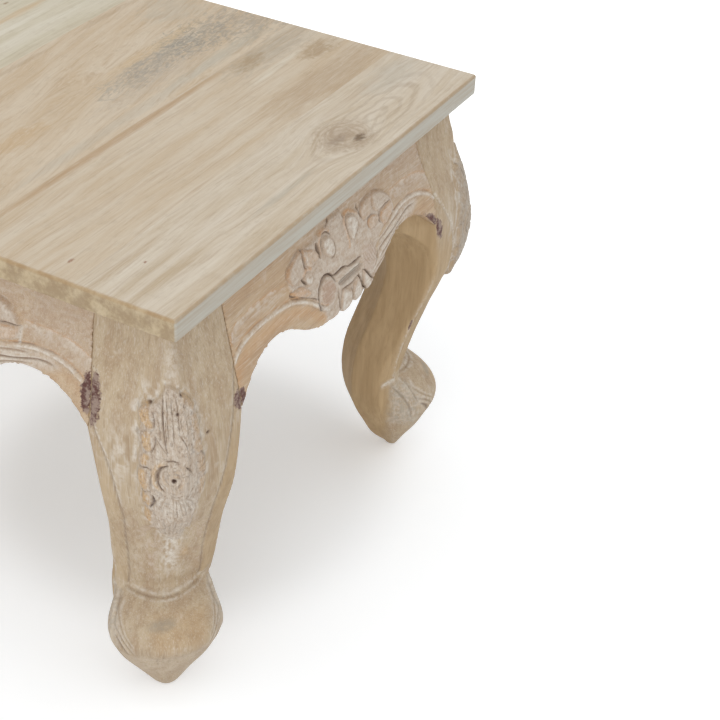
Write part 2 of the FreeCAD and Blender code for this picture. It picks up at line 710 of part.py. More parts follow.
def main():
    """Build the document and write its sub-parts."""
    doc = FreeCAD.newDocument("LowTable")
    sheet = make_sheet(doc)

    def size(name):
        return float(getattr(sheet, name))

    parts = make_boards(doc, size)
    parts += make_aprons(doc, size)
    parts += make_legs(doc, size)
    parts += [make_corner_block(doc, *corner) for corner in CORNERS]
    parts += make_screws(doc)
    doc.recompute()
    check_and_write(doc, parts)


main()
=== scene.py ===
"""A square bajot: a low table with a plank top, carved aprons and cabriole legs.

The wood is a pale hardwood, limed so that white filler stays in the pores and in
the carving. Pieces are in metres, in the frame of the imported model, +Z up. The
drawings of the carving and all names that end in _mm are in millimetres.
"""
import logging
import math
from dataclasses import dataclass
from enum import Enum

import bmesh
import bpy
import numpy as np
from mathutils import Matrix, Vector

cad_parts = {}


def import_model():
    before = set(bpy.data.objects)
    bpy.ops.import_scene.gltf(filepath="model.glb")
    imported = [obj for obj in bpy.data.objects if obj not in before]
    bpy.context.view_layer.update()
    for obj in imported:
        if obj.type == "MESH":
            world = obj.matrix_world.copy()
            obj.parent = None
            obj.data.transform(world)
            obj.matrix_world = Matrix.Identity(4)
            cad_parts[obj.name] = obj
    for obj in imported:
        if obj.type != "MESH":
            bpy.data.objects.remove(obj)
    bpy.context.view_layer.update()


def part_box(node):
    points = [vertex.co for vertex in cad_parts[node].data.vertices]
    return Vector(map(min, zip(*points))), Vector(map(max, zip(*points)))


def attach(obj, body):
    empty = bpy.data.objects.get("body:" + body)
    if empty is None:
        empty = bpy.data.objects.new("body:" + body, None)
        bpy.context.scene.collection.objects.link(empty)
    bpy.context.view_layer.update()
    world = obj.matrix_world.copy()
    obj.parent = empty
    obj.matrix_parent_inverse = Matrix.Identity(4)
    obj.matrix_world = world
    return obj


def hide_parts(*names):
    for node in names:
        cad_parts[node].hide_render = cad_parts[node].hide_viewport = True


LOG = logging.getLogger("bajot")
MM = 0.001
HALF_TOP = 0.250
OVERHANG = 0.00899
TABLE_HEIGHT = 0.425
SMOOTH = {"interpolation_type": "SMOOTHSTEP"}
RUNS_PER_SPAN = 4
FIELD_SIZE = 96

Line = tuple[tuple[float, float], ...]
Knots = tuple[tuple[float, float, float, float, float], ...]
Socket = bpy.types.NodeSocket


class Slot(Enum):
    """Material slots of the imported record."""

    APRONS = "aprons"
    LEGS = "legs"
    SCREWS = "screws"


class Spot(Enum):
    """A place on the table."""

    @property
    def label(self) -> str:
        """Return the place's name as the nodes have it."""
        return self.name.lower()


class Corner(Spot):
    """Corners of the table: the turn of the corner's own frame, in degrees."""

    FRONT_LEFT = -135.0
    FRONT_RIGHT = -45.0
    BACK_RIGHT = 45.0
    BACK_LEFT = 135.0

    def frame(self) -> Matrix:
        """Return the matrix from the corner's frame to the table's frame."""
        turn = math.radians(self.value)
        sign_x = math.copysign(1.0, math.cos(turn))
        sign_y = math.copysign(1.0, math.sin(turn))
        place = Matrix.Translation((sign_x * HALF_TOP, sign_y * HALF_TOP, 0.0))
        return place @ Matrix.Rotation(turn, 4, "Z")


class Side(Spot):
    """Sides of the table: the turn from the front side, in degrees."""

    FRONT = 0.0
    RIGHT = 90.0
    BACK = 180.0
    LEFT = 270.0


def linear(code: str) -> tuple[float, float, float, float]:
    """Turn an sRGB hex colour into linear red, green, blue and alpha.

    Args:
        code: The colour, such as "#C8B496".

    Returns:
        Four linear values.
    """
    parts = [int(code[k:k + 2], 16) / 255.0 for k in (1, 3, 5)]
    red, green, blue = (v / 12.92 if v <= 0.04045 else ((v + 0.055) / 1.055) ** 2.4 for v in parts)
    return red, green, blue, 1.0


@dataclass(frozen=True)
class Weave:
    """A node tree, and how this table's patterns and colours are laid in it."""

    tree: bpy.types.NodeTree

    def add(self, kind: str, *values: object, named: dict | None = None,
            **settings: object) -> bpy.types.Node:
        """Add one node with its settings, its values and its links.

        Args:
            kind: The node's type name; a shader node's goes without its first word.
            values: What its open inputs get, in order: numbers, hex colours, sockets or nodes.
            named: The same by the input's name.
            settings: Properties of the node.

        Returns:
            The new node.
        """
        whole = kind.startswith(("Geometry", "Function", "NodeGroup"))
        node = self.tree.nodes.new(kind if whole else "ShaderNode" + kind)
        for name, value in settings.items():
            setattr(node, name, value)
        pairs = list(zip([socket for socket in node.inputs if socket.enabled], values))
        pairs += [(node.inputs[key], value) for key, value in (named or {}).items()]
        for socket, value in pairs:
            if isinstance(value, bpy.types.Node):
                value = next(out for out in value.outputs if out.enabled)
            if isinstance(value, str) and socket.type == "RGBA":
                value = linear(value)
            if isinstance(value, Socket):
                self.tree.links.new(value, socket)
            else:
                socket.default_value = value
        return node

    def lay(self, under: object, over: object, grey: object = 1.0, low: float = 0.0, high: float = 1.0,
            least: float = 0.0, most: float = 1.0, where: object = 1.0) -> bpy.types.Node:
        """Lay one colour over another where a grey value goes from low to high.

        Args:
            under: The colour below.
            over: The colour above.
            grey: The value that decides.
            low: Where the colour above starts.
            high: Where it is full.
            least: Its share at the start.
            most: Its share when full.
            where: An amount that multiplies its share, such as a mark on the mesh.

        Returns:
            The node that mixes them.
        """
        share = self.add("MapRange", grey, low, high, least, most, **SMOOTH)
        share = self.add("Math", share, where, operation="MULTIPLY")
        return self.add("Mix", share, under, over, data_type="RGBA")

    def lumps(self, place: object, size_mm: float, stretch: tuple[float, float, float] = (1.0, 1.0, 1.0),
              detail: float = 3.0, rough: float = 0.55, bend: float = 0.0) -> bpy.types.Node:
        """Return a noise whose lumps have a real size, drawn out along the axes.

        Args:
            place: The coordinates.
            size_mm: The size of its lumps.
            stretch: How many times longer they are along each axis.
            detail: How many finer layers it has.
            rough: How strong the finer layers are.
            bend: How much it curls.

        Returns:
            The noise's node.
        """
        scale = tuple(1.0 / (size_mm * MM * way) for way in stretch)
        drawn = self.add("Mapping", place, named={"Scale": scale})
        return self.add("TexNoise", drawn, named={"Scale": 1.0, "Detail": detail, "Roughness": rough,
                                                  "Distortion": bend})

    def wood(self, colour: object, grey: object, rough: tuple[float, float, float, float],
             height: object, strength: float, deep_mm: float) -> None:
        """End a wood: its colour, a roughness that follows a grey value, and the relief of its pores.

        Args:
            colour: The colour.
            grey: The value that the roughness follows.
            rough: Where the value starts and ends, and the roughness there.
            height: The relief.
            strength: How strongly the relief shows.
            deep_mm: How deep it is.
        """
        bump = self.add("Bump", named={"Strength": strength, "Distance": deep_mm * MM, "Height": height})
        self.add("OutputMaterial", self.add("BsdfPrincipled", named={
            "Base Color": colour, "Roughness": self.add("MapRange", grey, *rough, **SMOOTH), "Normal": bump,
            "Specular IOR Level": 0.3}))


@dataclass(frozen=True)
class Knot:
    """A knot in the grain: the lines flow round it and rings lie inside it. In metres."""

    place: tuple[float, float, float]
    reach: tuple[float, float, float]
    bend: float
    rings: float


@dataclass(frozen=True)
class Stain:
    """A patch of another tone in the wood, with a ragged edge. In millimetres on the plan."""

    place: tuple[float, float]
    reach: tuple[float, float]
    colour: str
    share: float
    grain_mm: float
    stretch: float
    crinkle: float = 0.0


def new_tree(name: str) -> tuple[bpy.types.Material, Weave]:
    """Start an empty material.

    Args:
        name: The finish's name.

    Returns:
        The material and its node tree.
    """
    material = bpy.data.materials.new(name)
    material.use_nodes = True
    material.node_tree.nodes.clear()
    return material, Weave(material.node_tree)


@dataclass(frozen=True)
class GrainLook:
    """How a piece of this wood is sawn: the way its grain runs and how wide its bands are."""

    turn: tuple[float, float, float] = (0.0, 0.0, 0.0)
    shift: tuple[float, float, float] = (0.0, 0.0, 0.0)
    band_mm: float = 10.0  # tone bands, as wide as growth rings
    line_mm: float = 2.6  # darker streaks along the grain
    hair_mm: float = 0.9  # short dashes, like filled pores
    blotch_mm: float = 13.333  # clouds of a slightly other tone
    drift_mm: float = 62.5  # slow bends, so that the grain isn't ruled
    wander_mm: float = 10.0  # how far the grain strays at a bend
    wobble_mm: float = 26.316  # knot rings that aren't true ovals
    knots: tuple[Knot, ...] = ()

    def lay(self, weave: Weave) -> dict[str, object]:
        """Lay the grain out on Object coordinates.

        Args:
            weave: The material's tree.

        Returns:
            The place and the grey values of bands, lines, hairs, blotches and knot rings.
        """
        place = weave.add("TexCoord").outputs["Object"]
        bent, rings = place, 0.0
        for knot in self.knots:
            away = weave.add("VectorMath", place, knot.place, operation="SUBTRACT")
            scaled = weave.add("VectorMath", away, knot.reach, operation="DIVIDE")
            far = weave.add("VectorMath", scaled, scaled, operation="DOT_PRODUCT")
            pull = weave.add("VectorMath", away, (0.0, -knot.bend, -knot.bend), operation="MULTIPLY")
            near = weave.add("Math", math.exp(-1.0), far, operation="POWER")
            pull = weave.add("VectorMath", pull, near, operation="SCALE")
            bent = weave.add("VectorMath", bent, pull, operation="ADD")
            rings = weave.add("Math", rings, self.rings(weave, place, far, knot), operation="MAXIMUM")
        grain = weave.add("Mapping", bent, named={"Location": self.shift, "Rotation": self.turn})
        drift = weave.lumps(grain, self.drift_mm, (3.5556, 1.0, 1.0), 3.0, 0.5).outputs["Color"]
        drift = weave.add("VectorMath", drift, (0.5, 0.5, 0.5), operation="SUBTRACT")
        size = 2.0 * self.wander_mm * MM
        drift = weave.add("VectorMath", drift, (0.0, size, size), operation="MULTIPLY")
        grain = weave.add("VectorMath", grain, drift, operation="ADD")
        return {
            "place": place, "rings": rings,
            "band": weave.lumps(grain, self.band_mm, (13.0, 1.0, 1.0), 3.0, 0.6),
            "line": weave.lumps(grain, self.line_mm, (34.0, 1.0, 1.0), 4.0, 0.6),
            "hair": weave.lumps(grain, self.hair_mm, (26.0, 1.0, 1.0), 3.0, 0.6),
            "blotch": weave.lumps(place, self.blotch_mm, detail=5.0, rough=0.68),
        }

    def rings(self, weave: Weave, place: Socket, far: bpy.types.Node, knot: Knot) -> bpy.types.Node:
        """Return the rings of one knot, which run out round it.

        Args:
            weave: The material's tree.
            place: Object coordinates.
            far: The square of the distance from the knot, in its reach.
            knot: The knot.

        Returns:
            The grey value of its rings.
        """
        step = weave.add("Math", weave.add("Math", far, operation="SQRT"), knot.rings, operation="MULTIPLY")
        step = weave.add("Math", weave.lumps(place, self.wobble_mm), 1.2, step, operation="MULTIPLY_ADD")
        wave = weave.add("Math", step, 2.0 * math.pi, operation="MULTIPLY")
        wave = weave.add("Math", wave, operation="SINE")
        wave = weave.add("MapRange", wave, -0.2, 1.0, **SMOOTH)
        within = weave.add("MapRange", far, 1.3, 0.5, **SMOOTH)
        return weave.add("Math", wave, within, operation="MULTIPLY")


@dataclass(frozen=True)
class LimedPlank:
    """Planed hardwood, limed and waxed: white filler in open pores over tan streaks.

    To the eye it is matt and pale, with darker heartwood streaks along the board and
    short white dashes where the filler stays in the pores.
    """

    name: str
    pale: str
    tan: str
    brown: str
    grain: GrainLook
    stains: tuple[Stain, ...]
    ring: str = "#8A7154"
    cloud: str = "#A3937C"
    filler: str = "#D9D1C1"
    pore: str = "#8B775A"
    arris: str = "#A58862"
    end_grain: tuple[str, str] = ("#B9A787", "#937D5E")
    long_edge: tuple[str, str] = ("#B4B2A8", "#ABA293")
    edge_line_mm: float = 3.0303  # fine lines that run along the sawn long edges

    def material(self) -> bpy.types.Material:
        """Return the board's material."""
        material, weave = new_tree(self.name)
        look = self.grain.lay(weave)
        colour = weave.lay(self.pale, self.tan, look["band"], 0.30, 0.72, 0.1, 0.9)
        for stain in self.stains:
            colour = self.tint(weave, colour, look["place"], stain)
        colour = weave.lay(colour, self.brown, look["line"], 0.48, 0.72, 0.0, 0.34)
        colour = weave.lay(colour, self.ring, most=0.22, where=look["rings"])
        colour = weave.lay(colour, self.cloud, look["blotch"], 0.50, 0.75, 0.0, 0.22)
        colour = weave.lay(colour, self.filler, look["hair"], 0.50, 0.70, 0.0, 0.26)
        colour = weave.lay(colour, self.pore, look["hair"], 0.42, 0.28, 0.0, 0.22)
        colour = self.outer_edges(weave, colour, look)
        weave.wood(colour, look["line"], (0.2, 0.8, 0.50, 0.62), look["hair"], 0.4, 0.4)
        return material

    def tint(self, weave: Weave, colour: object, place: Socket, stain: Stain) -> bpy.types.Node:
        """Lay one stain over the colour.

        Args:
            weave: The material's tree.
            colour: The colour so far.
            place: Object coordinates.
            stain: The stain.

        Returns:
            The colour with the stain.
        """
        middle = (stain.place[0] * MM, stain.place[1] * MM, TABLE_HEIGHT)
        away = weave.add("VectorMath", place, middle, operation="SUBTRACT")
        reach = (stain.reach[0] * MM, stain.reach[1] * MM, 1.0)
        scaled = weave.add("VectorMath", away, reach, operation="DIVIDE")
        far = weave.add("VectorMath", scaled, scaled, operation="DOT_PRODUCT")
        crinkle = weave.lumps(place, stain.grain_mm, (stain.stretch, 1.0, 1.0), 4.0, 0.62, stain.crinkle)
        ragged = 2.6 + 1.2 * min(stain.crinkle, 2.0)
        edge = weave.add("Math", crinkle, ragged, far, operation="MULTIPLY_ADD")
        figure = 1.0
        if stain.crinkle > 1.0:
            figure = weave.add("MapRange", crinkle, 0.62, 0.38, 0.30, 1.0, **SMOOTH)
        outer, inner = 0.5 * ragged + 1.5, 0.5 * ragged - 0.2
        return weave.lay(colour, stain.colour, edge, outer, inner, 0.0, stain.share, figure)

    def outer_edges(self, weave: Weave, colour: object, look: dict[str, object]) -> bpy.types.Node:
        """Grey the sawn edges of the top and rub its arris back to orange wood.

        Args:
            weave: The material's tree.
            colour: The colour so far.
            look: The grain.

        Returns:
            The colour with its edges.
        """
        split = weave.add("SeparateXYZ", look["place"])
        along, aside = (weave.add("Math", split.outputs[axis], operation="ABSOLUTE") for axis in (0, 1))
        low, high = HALF_TOP - 1.8 * MM, HALF_TOP - 0.4 * MM
        end_grain = weave.lay(*self.end_grain, look["blotch"], 0.34, 0.62)
        colour = weave.lay(colour, end_grain, along, low, high, 0.0, 0.85)
        lines = weave.lumps(look["place"], self.edge_line_mm, (33.0, 330.0, 1.0), 5.0, 0.7)
        colour = weave.lay(colour, weave.lay(*self.long_edge, lines, 0.38, 0.62), aside, low, high, 0.0, 0.9)
        out = weave.add("Math", along, aside, operation="MAXIMUM")
        edge = weave.add("MapRange", out, HALF_TOP - 3.0 * MM, HALF_TOP - 1.2 * MM, **SMOOTH)
        upper = weave.add("MapRange", split.outputs[2], TABLE_HEIGHT - 4.0 * MM, TABLE_HEIGHT - 1.4 * MM,
                          **SMOOTH)
        rim = weave.add("Math", edge, upper, operation="MULTIPLY")
        return weave.lay(colour, self.arris, look["blotch"], 0.26, 0.62, 0.30, 0.65, rim)


@dataclass(frozen=True)
class LimedCarving:
    """Carved hardwood, limed: white filler lies in the cuts, high spots are rubbed bare.

    To the eye it is a matt pinkish tan with chalky white hollows and patches of raw orange wood,
    and the dark cut colour is painted shade in the bottoms of cuts, grooves and drilled holes.
    The mesh carries where each of them lies.
    """

    name: str
    base: str
    warm: str
    brown: str
    inner: str
    inner_dark: str
    grain: GrainLook
    carved: str = "#AE9B89"
    lime: str = "#D5CEC3"
    raw: str = "#BC8E60"
    rose: str = "#A58470"
    # painted shade: the near-black brown laid in the bottoms of cuts, grooves and drilled holes
    cut: str = "#4A352B"
    knot: str = "#5A3A34"
    knot_pale: str = "#927E72"
    # grey: a wash on the foot and over the far leg's carving, and painted shade in the bars' lowered band
    # and behind the foot's side scroll
    smoke: str = "#8F897D"
    fleck: str = "#DCD8CF"
    crack: str = "#7D6553"
    crackle: float = 0.24
    chalk_mm: float = 4.762  # soft crumbs that break the edge of every mark
    crackle_mm: float = 1.7857  # small chips in the lime, like dry paint
    spot_mm: float = 6.667  # paler spots inside a dark knot

    def material(self) -> bpy.types.Material:
        """Return the carving's material."""
        material, weave = new_tree(self.name)
        look = self.grain.lay(weave)
        place, hair, blotch, line = look["place"], look["hair"], look["blotch"], look["line"]
        on = {name: weave.add("Attribute", attribute_name=name).outputs["Fac"]
              for name in ("inner", *Relief.MARKS)}
        chalk = weave.lumps(place, self.chalk_mm, detail=5.0, rough=0.72)
        colour = weave.lay(self.base, self.warm, look["band"], 0.34, 0.66)
        colour = weave.lay(colour, self.brown, line, 0.46, 0.72, 0.0, 0.45)
        colour = weave.lay(colour, self.brown, blotch, 0.48, 0.70, 0.0, 0.26)
        colour = weave.lay(colour, self.lime, blotch, 0.44, 0.30, 0.0, 0.26)
        colour = weave.lay(colour, self.carved, most=0.75, where=on["carved"])
        plain = weave.lay(self.inner, self.inner_dark, look["band"], 0.12, 0.88)
        plain = weave.lay(plain, self.inner_dark, line, 0.48, 0.70, 0.0, 0.55)
        colour = weave.lay(colour, plain, where=on["inner"])
        colour = weave.lay(colour, self.rose, chalk, 0.3, 0.6, 0.6, 1.0, on["rose"])
        colour = weave.lay(colour, self.raw, chalk, 0.30, 0.50, 0.405, 0.9, on["raw"])
        colour = weave.lay(colour, self.lime, chalk, 0.36, 0.58, 0.25, 1.0, on["lime"])
        bare = weave.add("Math", 1.0, on["inner"], operation="SUBTRACT")
        colour = weave.lay(colour, self.lime, hair, 0.50, 0.70, 0.0, 0.34, bare)
        colour = weave.lay(colour, self.brown, hair, 0.42, 0.28, 0.0, 0.30)
        crackle = weave.lumps(place, self.crackle_mm, (1.0, 1.0, 2.857), 3.0, 0.65)
        colour = weave.lay(colour, self.fleck, crackle, 0.54, 0.66, 0.0, self.crackle, on["carved"])
        colour = weave.lay(colour, self.crack, crackle, 0.45, 0.33, 0.0, self.crackle, on["carved"])
        # painted shade in the cuts, grooves and holes
        colour = weave.lay(colour, self.cut, chalk, 0.30, 0.55, 0.6, 1.0, on["cut"])
        # grey wash in some places, painted shade in others
        colour = weave.lay(colour, self.smoke, chalk, 0.3, 0.6, 0.4, 0.9, on["smoke"])
        spots = weave.lumps(place, self.spot_mm, detail=4.0, rough=0.7)
        dark = weave.lay(self.knot, self.knot_pale, spots, 0.42, 0.58)
        ragged = weave.add("Math", chalk, 1.3, on["knot"], operation="MULTIPLY_ADD")
        colour = weave.lay(colour, dark, ragged, 1.07, 1.25)
        height = weave.add("Math", chalk, on["carved"], hair, operation="MULTIPLY_ADD")
        weave.wood(colour, chalk, (0.2, 0.8, 0.52, 0.72), height, 0.5, 0.6)
        return material


@dataclass(frozen=True)
class ZincPlatedSteel:
    """Zinc-plated steel of wood screws: a dull silver with a soft broken shine."""

    name: str = "zinc_plated_steel"
    bright: str = "#B9B7B0"
    dull: str = "#8E8B84"
    cloud_mm: float = 1.111  # a faint spangle over the plating

    def material(self) -> bpy.types.Material:
        """Return the screws' material."""
        material, weave = new_tree(self.name)
        cloud = weave.lumps(weave.add("TexCoord").outputs["Object"], self.cloud_mm)
        colour = weave.lay(self.bright, self.dull, cloud, 0.4, 0.7)
        weave.add("OutputMaterial", weave.add("BsdfPrincipled", named={
            "Base Color": colour, "Roughness": weave.add("MapRange", cloud, 0.3, 0.7, 0.32, 0.5, **SMOOTH),
            "Metallic": 1.0}))
        return material


def rounded_line(points: Line, closed: bool = False) -> np.ndarray:
    """Run a smooth line through points.

    Args:
        points: The points, in millimetres.
        closed: Whether the line comes back to its start.

    Returns:
        The points of the smooth line.
    """
    given = np.array(points, float)
    if closed:
        ring = np.vstack([given[-1:], given, given[:2]])
    else:
        ring = np.vstack([2 * given[:1] - given[1:2], given, 2 * given[-1:] - given[-2:-1]])
    share = np.linspace(0.0, 1.0, RUNS_PER_SPAN, endpoint=False)[:, None]
    runs = []
    for k in range(1, len(ring) - 2):
        before, start, end, after = ring[k - 1], ring[k], ring[k + 1], ring[k + 2]
        runs.append(0.5 * (2 * start + (end - before) * share
                           + (2 * before - 5 * start + 4 * end - after) * share ** 2
                           + (3 * start - before - 3 * end + after) * share ** 3))
    if not closed:
        runs.append(given[-1:])
    line = np.vstack(runs)
    return np.vstack([line, line[:1]]) if closed else line


def soft(value: np.ndarray, low: float, high: float) -> np.ndarray:
    """Return a smooth step from nought at low to one at high."""
    share = np.clip((value - low) / (high - low), 0.0, 1.0)
    return share * share * (3.0 - 2.0 * share)


def hump(value: np.ndarray, width: float) -> np.ndarray:
    """Return a smooth hump: one where the value is nought, nearly gone two widths away."""
    return np.exp(-(value / width) ** 2)


def within(value: np.ndarray, low: float, rise: float, fall: float, high: float) -> np.ndarray:
    """Return one from rise to fall, smoothly down to nought at low and at high."""
    return soft(value, low, rise) * soft(-value, -high, -fall)


def ragged(across: np.ndarray, up: np.ndarray, pitch: float, seed: int) -> np.ndarray:
    """Return a smooth random field from nought to one.

    Args:
        across: Places across, in millimetres.
        up: Heights, in millimetres.
        pitch: The size of its lumps, in millimetres.
        seed: The seed of its table.

    Returns:
        One value for every point.
    """
    table = np.random.default_rng(seed).random((FIELD_SIZE, FIELD_SIZE))
    column, row = across / pitch + 400.0, up / pitch + 400.0
    left, low = np.floor(column).astype(int), np.floor(row).astype(int)
    fx, fz = soft(column - left, 0.0, 1.0), soft(row - low, 0.0, 1.0)
    left, low = left % (FIELD_SIZE - 1), low % (FIELD_SIZE - 1)
    below = table[left, low] * (1 - fx) + table[left + 1, low] * fx
    above = table[left, low + 1] * (1 - fx) + table[left + 1, low + 1] * fx
    return below * (1 - fz) + above * fz


class Relief:
    """A carved face: heights and finishes over a flat field, in millimetres."""

    # the cut mark is painted shade in the cuts, grooves and holes
    MARKS = ("lime", "raw", "rose", "cut", "knot", "carved", "smoke")
    CHIP_MM, CHIP_SEED = 2.0, 5
    GRIT_MM, GRIT_SEED = 1.3, 9

    def __init__(self, across: np.ndarray, up: np.ndarray, grain: tuple[float, float] = (1.0, 1.0)) -> None:
        """Start a flat relief over the given points; grain draws its roughness out along the wood."""
        self.across = across
        self.up = up
        self.height = np.zeros_like(across)
        self.marks = {name: np.zeros_like(across) for name in self.MARKS}
        self.chip = ragged(across * grain[0], up * grain[1], self.CHIP_MM, self.CHIP_SEED)
        self.grit = ragged(across, up, self.GRIT_MM, self.GRIT_SEED)

    def near(self, points: Line, closed: bool = False) -> tuple[np.ndarray, np.ndarray, np.ndarray]:
        """Measure how far every point is from a smooth line.

        Args:
            points: The line's points.
            closed: Whether the line closes.

        Returns:
            The distance, the share of the way along the line, and which side.
        """
        line = rounded_line(points, closed)
        best = np.full_like(self.across, 1e9)
        along = np.zeros_like(self.across)
        side = np.zeros_like(self.across)
        count = len(line) - 1
        for k in range(count):
            start, end = line[k], line[k + 1]
            step = end - start
            length = max(float(step @ step), 1e-9)
            dx, dz = self.across - start[0], self.up - start[1]
            share = np.clip((dx * step[0] + dz * step[1]) / length, 0.0, 1.0)
            far = np.hypot(dx - share * step[0], dz - share * step[1])
            closer = far < best
            best = np.where(closer, far, best)
            along = np.where(closer, (k + share) / count, along)
            side = np.where(closer, np.sign(step[0] * dz - step[1] * dx), side)
        return best, along, side

    def inside(self, points: Line) -> np.ndarray:
        """Return how far inside a closed smooth outline every point is, outside negative."""
        line = rounded_line(points, True)
        far, _, _ = self.near(points, True)
        within = np.zeros(self.across.shape, bool)
        for start, end in zip(line[:-1], line[1:]):
            crosses = (start[1] > self.up) != (end[1] > self.up)
            run = end[1] - start[1]
            run = run if abs(run) > 1e-9 else 1e-9
            where = start[0] + (self.up - start[1]) / run * (end[0] - start[0])
            within ^= crosses & (self.across < where)
        return np.where(within, far, -far)

    def mark(self, name: str, share: np.ndarray, low: float = -2.0, high: float = -1.0) -> None:
        """Raise a mark to at least a share, broken up where the chips lie between low and high."""
        self.marks[name] = np.maximum(self.marks[name], share * soft(self.chip, low, high))

    def clear(self, name: str, share: np.ndarray) -> None:
        """Lower one of the marks by a share."""
        self.marks[name] = self.marks[name] * (1.0 - np.clip(share, 0.0, 1.0))

    def patch(self, x: float, z: float, wide: float, high: float) -> np.ndarray:
        """Return a soft oval patch round a place."""
        return hump(self.across - x, wide) * hump(self.up - z, high)

    def field(self, outline: Line, height: float, edge: float, lime: float) -> None:
        """Raise everything inside an outline, with a soft edge and a rough surface."""
        share = soft(self.inside(outline), -0.3 * edge, edge)
        self.height += share * (height + 0.5 * (self.chip - 0.5) + 0.4 * (self.grit - 0.5))
        self.mark("lime", lime * share * (0.45 + 0.55 * soft(self.chip, 0.2, 0.7)))
        self.mark("carved", share)

    def leaf(self, outline: Line, height: float, lime: float, raw: float, rim: float, cut: float) -> None:
        """Raise one leaf: cut steeply all round, with painted shade in the cut that is darkest above and to
        its left, its rim rubbed bare.

        Args:
            outline: The leaf's outline.
            height: How high it stands.
            lime: How much filler lies on it.
            raw: How bare all of it is rubbed.
            rim: How bare its rim is rubbed.
            cut: How dark the painted shade in the cut round it is.
        """
        deep = self.inside(outline)
        ring = np.array(outline)
        middle, spread = ring.mean(axis=0), np.ptp(ring, axis=0) / 2.0
        dx, dz = (self.across - middle[0]) / spread[0], (self.up - middle[1]) / spread[1]
        # facing is highest above and to the left of the leaf: the trench is deeper there and the painted
        # shade in the cut darker
        facing = 0.22 + 0.78 * soft((dz - dx) / (np.hypot(dx, dz) + 0.2), -0.6, 1.0)
        self.height += 0.5 * height * (soft(deep, -0.6, 2.0) + 1.0 - np.exp(-np.clip(deep, 0.0, 20.0) / 5.0))
        self.height -= 0.8 * facing * hump(deep + 0.7, 0.9)
        self.clear("lime", 0.5 * hump(deep - 0.2, 1.0))
        self.mark("lime", lime * soft(deep, 0.8, 2.6), -0.2, 0.6)
        self.mark("raw", raw * soft(deep, -0.2, 1.1) * soft(deep + 6.0 * self.chip, 1.0, 5.0), -0.1, 0.5)
        self.mark("raw", rim * facing * hump(deep - 0.3, 0.8), -0.1, 0.5)
        self.mark("cut", cut * facing ** 1.5 * hump(deep + 0.6, 0.6), 0.0, 0.5)

    def slot(self, points: Line, width: float, depth: float, cut: float) -> None:
        """Cut a lens-shaped notch along a line, with painted shade on its flat bottom.

        Args:
            points: The line.
            width: Half the notch's width at its middle.
            depth: How deep it is.
            cut: How dark the painted shade in it is.
        """
        far, along, _ = self.near(points)
        half = width * np.sqrt(np.clip(1.0 - (2.0 * along - 1.0) ** 2, 0.0, 1.0))
        share = soft(half + 0.3 - far, 0.0, 0.8)
        core = soft(0.5 * half + 0.1 - far, -0.1, 0.5)
        self.height -= depth * (0.5 * share + 0.5 * core)
        for name in ("lime", "raw", "rose"):
            self.clear(name, share)
        # painted shade in the notch
        self.mark("cut", cut * (0.36 * share + 0.58 * core) * (0.75 + 0.25 * soft(self.chip, 0.1, 0.5)))

    def slots(self, *notches: tuple[Line, float, float, float]) -> None:
        """Cut notches one after another, each given by its line, width, depth and darkness."""
        for notch in notches:
            self.slot(*notch)

    def dome(self, middle: tuple[float, float], radii: tuple[float, float], height: float,
             lime: float = 0.0) -> None:
        """Raise a rounded boss.

        Args:
            middle: Its middle.
            radii: Its two half sizes.
            height: How high it stands.
            lime: How much filler lies on it.
        """
        far = np.hypot((self.across - middle[0]) / radii[0], (self.up - middle[1]) / radii[1])
        self.height += height * np.sqrt(np.clip(1.0 - far ** 2, 0.0, 1.0))
        self.mark("lime", lime * soft(1.0 - far, 0.0, 0.35))

    def groove(self, points: Line, width: float, depth: float, lime: float, cut: float,
               taper: bool = True) -> None:
        """Cut a groove along a line, with a dark bottom and filler on its banks.

        Args:
            points: The line.
            width: Half the groove's width.
            depth: How deep it is.
            lime: How much filler lies on its banks.
            cut: How dark the painted shade along its bottom is.
            taper: Whether both ends run out.
        """
        far, along, _ = self.near(points)
        fade = within(along, 0.0, 0.15, 0.85, 1.0) if taper else 1.0
        self.height -= depth * fade * hump(far, width)
        self.mark("lime", lime * fade * hump(far - 1.7 * width, 0.9 * width))
        self.clear("lime", fade * hump(far, 0.7 * width) * (cut > 0.3))
        # painted shade along the bottom of the groove
        self.mark("cut", cut * fade * hump(far, 0.62 * width))

    def ridge(self, points: Line, width: float, height: float, lime: float, raw: float = 0.0) -> None:
        """Raise a rounded ridge along a line."""
        far, along, _ = self.near(points)
        share = within(along, 0.0, 0.1, 0.9, 1.0) * hump(far, width)
        self.height += height * share
        self.mark("lime", lime * share)
        self.mark("raw", raw * share)


def knot_marks(found: Knots, across: np.ndarray, up: np.ndarray) -> np.ndarray:
    """Return the dark knots on one face.

    Args:
        found: Middle, height, two half sizes and slant in degrees of each knot.
        across: Places across the face, in millimetres.
        up: Heights, in millimetres.

    Returns:
        One value for every point, above nought in a knot.
    """
    marks = np.zeros_like(up)
    for middle, height, wide, high, slant in found:
        lean = math.tan(math.radians(slant)) * (up - height)
        marks = np.maximum(marks, 1.35 - np.hypot((across - middle - lean) / wide, (up - height) / high))
    return marks


def put(name: str, data: bpy.types.ID) -> bpy.types.Object:
    """Put a new object into the scene.

    Args:
        name: Its name.
        data: Its mesh, lamp or camera.

    Returns:
        The object.
    """
    made = bpy.data.objects.new(name, data)
    bpy.context.scene.collection.objects.link(made)
    return made


def settle(holder: bpy.types.Object) -> bpy.types.Mesh:
    """Make the mesh that an object's modifiers give, and remove the object.

    Args:
        holder: The object.

    Returns:
        The new mesh.
    """
    graph = bpy.context.evaluated_depsgraph_get()
    graph.update()
    mesh = bpy.data.meshes.new_from_object(holder.evaluated_get(graph))
    bpy.data.objects.remove(holder)
    return mesh


def dress_node(name: str, material: bpy.types.Material) -> None:
    """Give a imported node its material.

    Args:
        name: The node.
        material: The material.
    """
    mesh = bpy.data.objects[name].data
    mesh.materials.clear()
    mesh.materials.append(material)
    LOG.info("%s dressed", name)


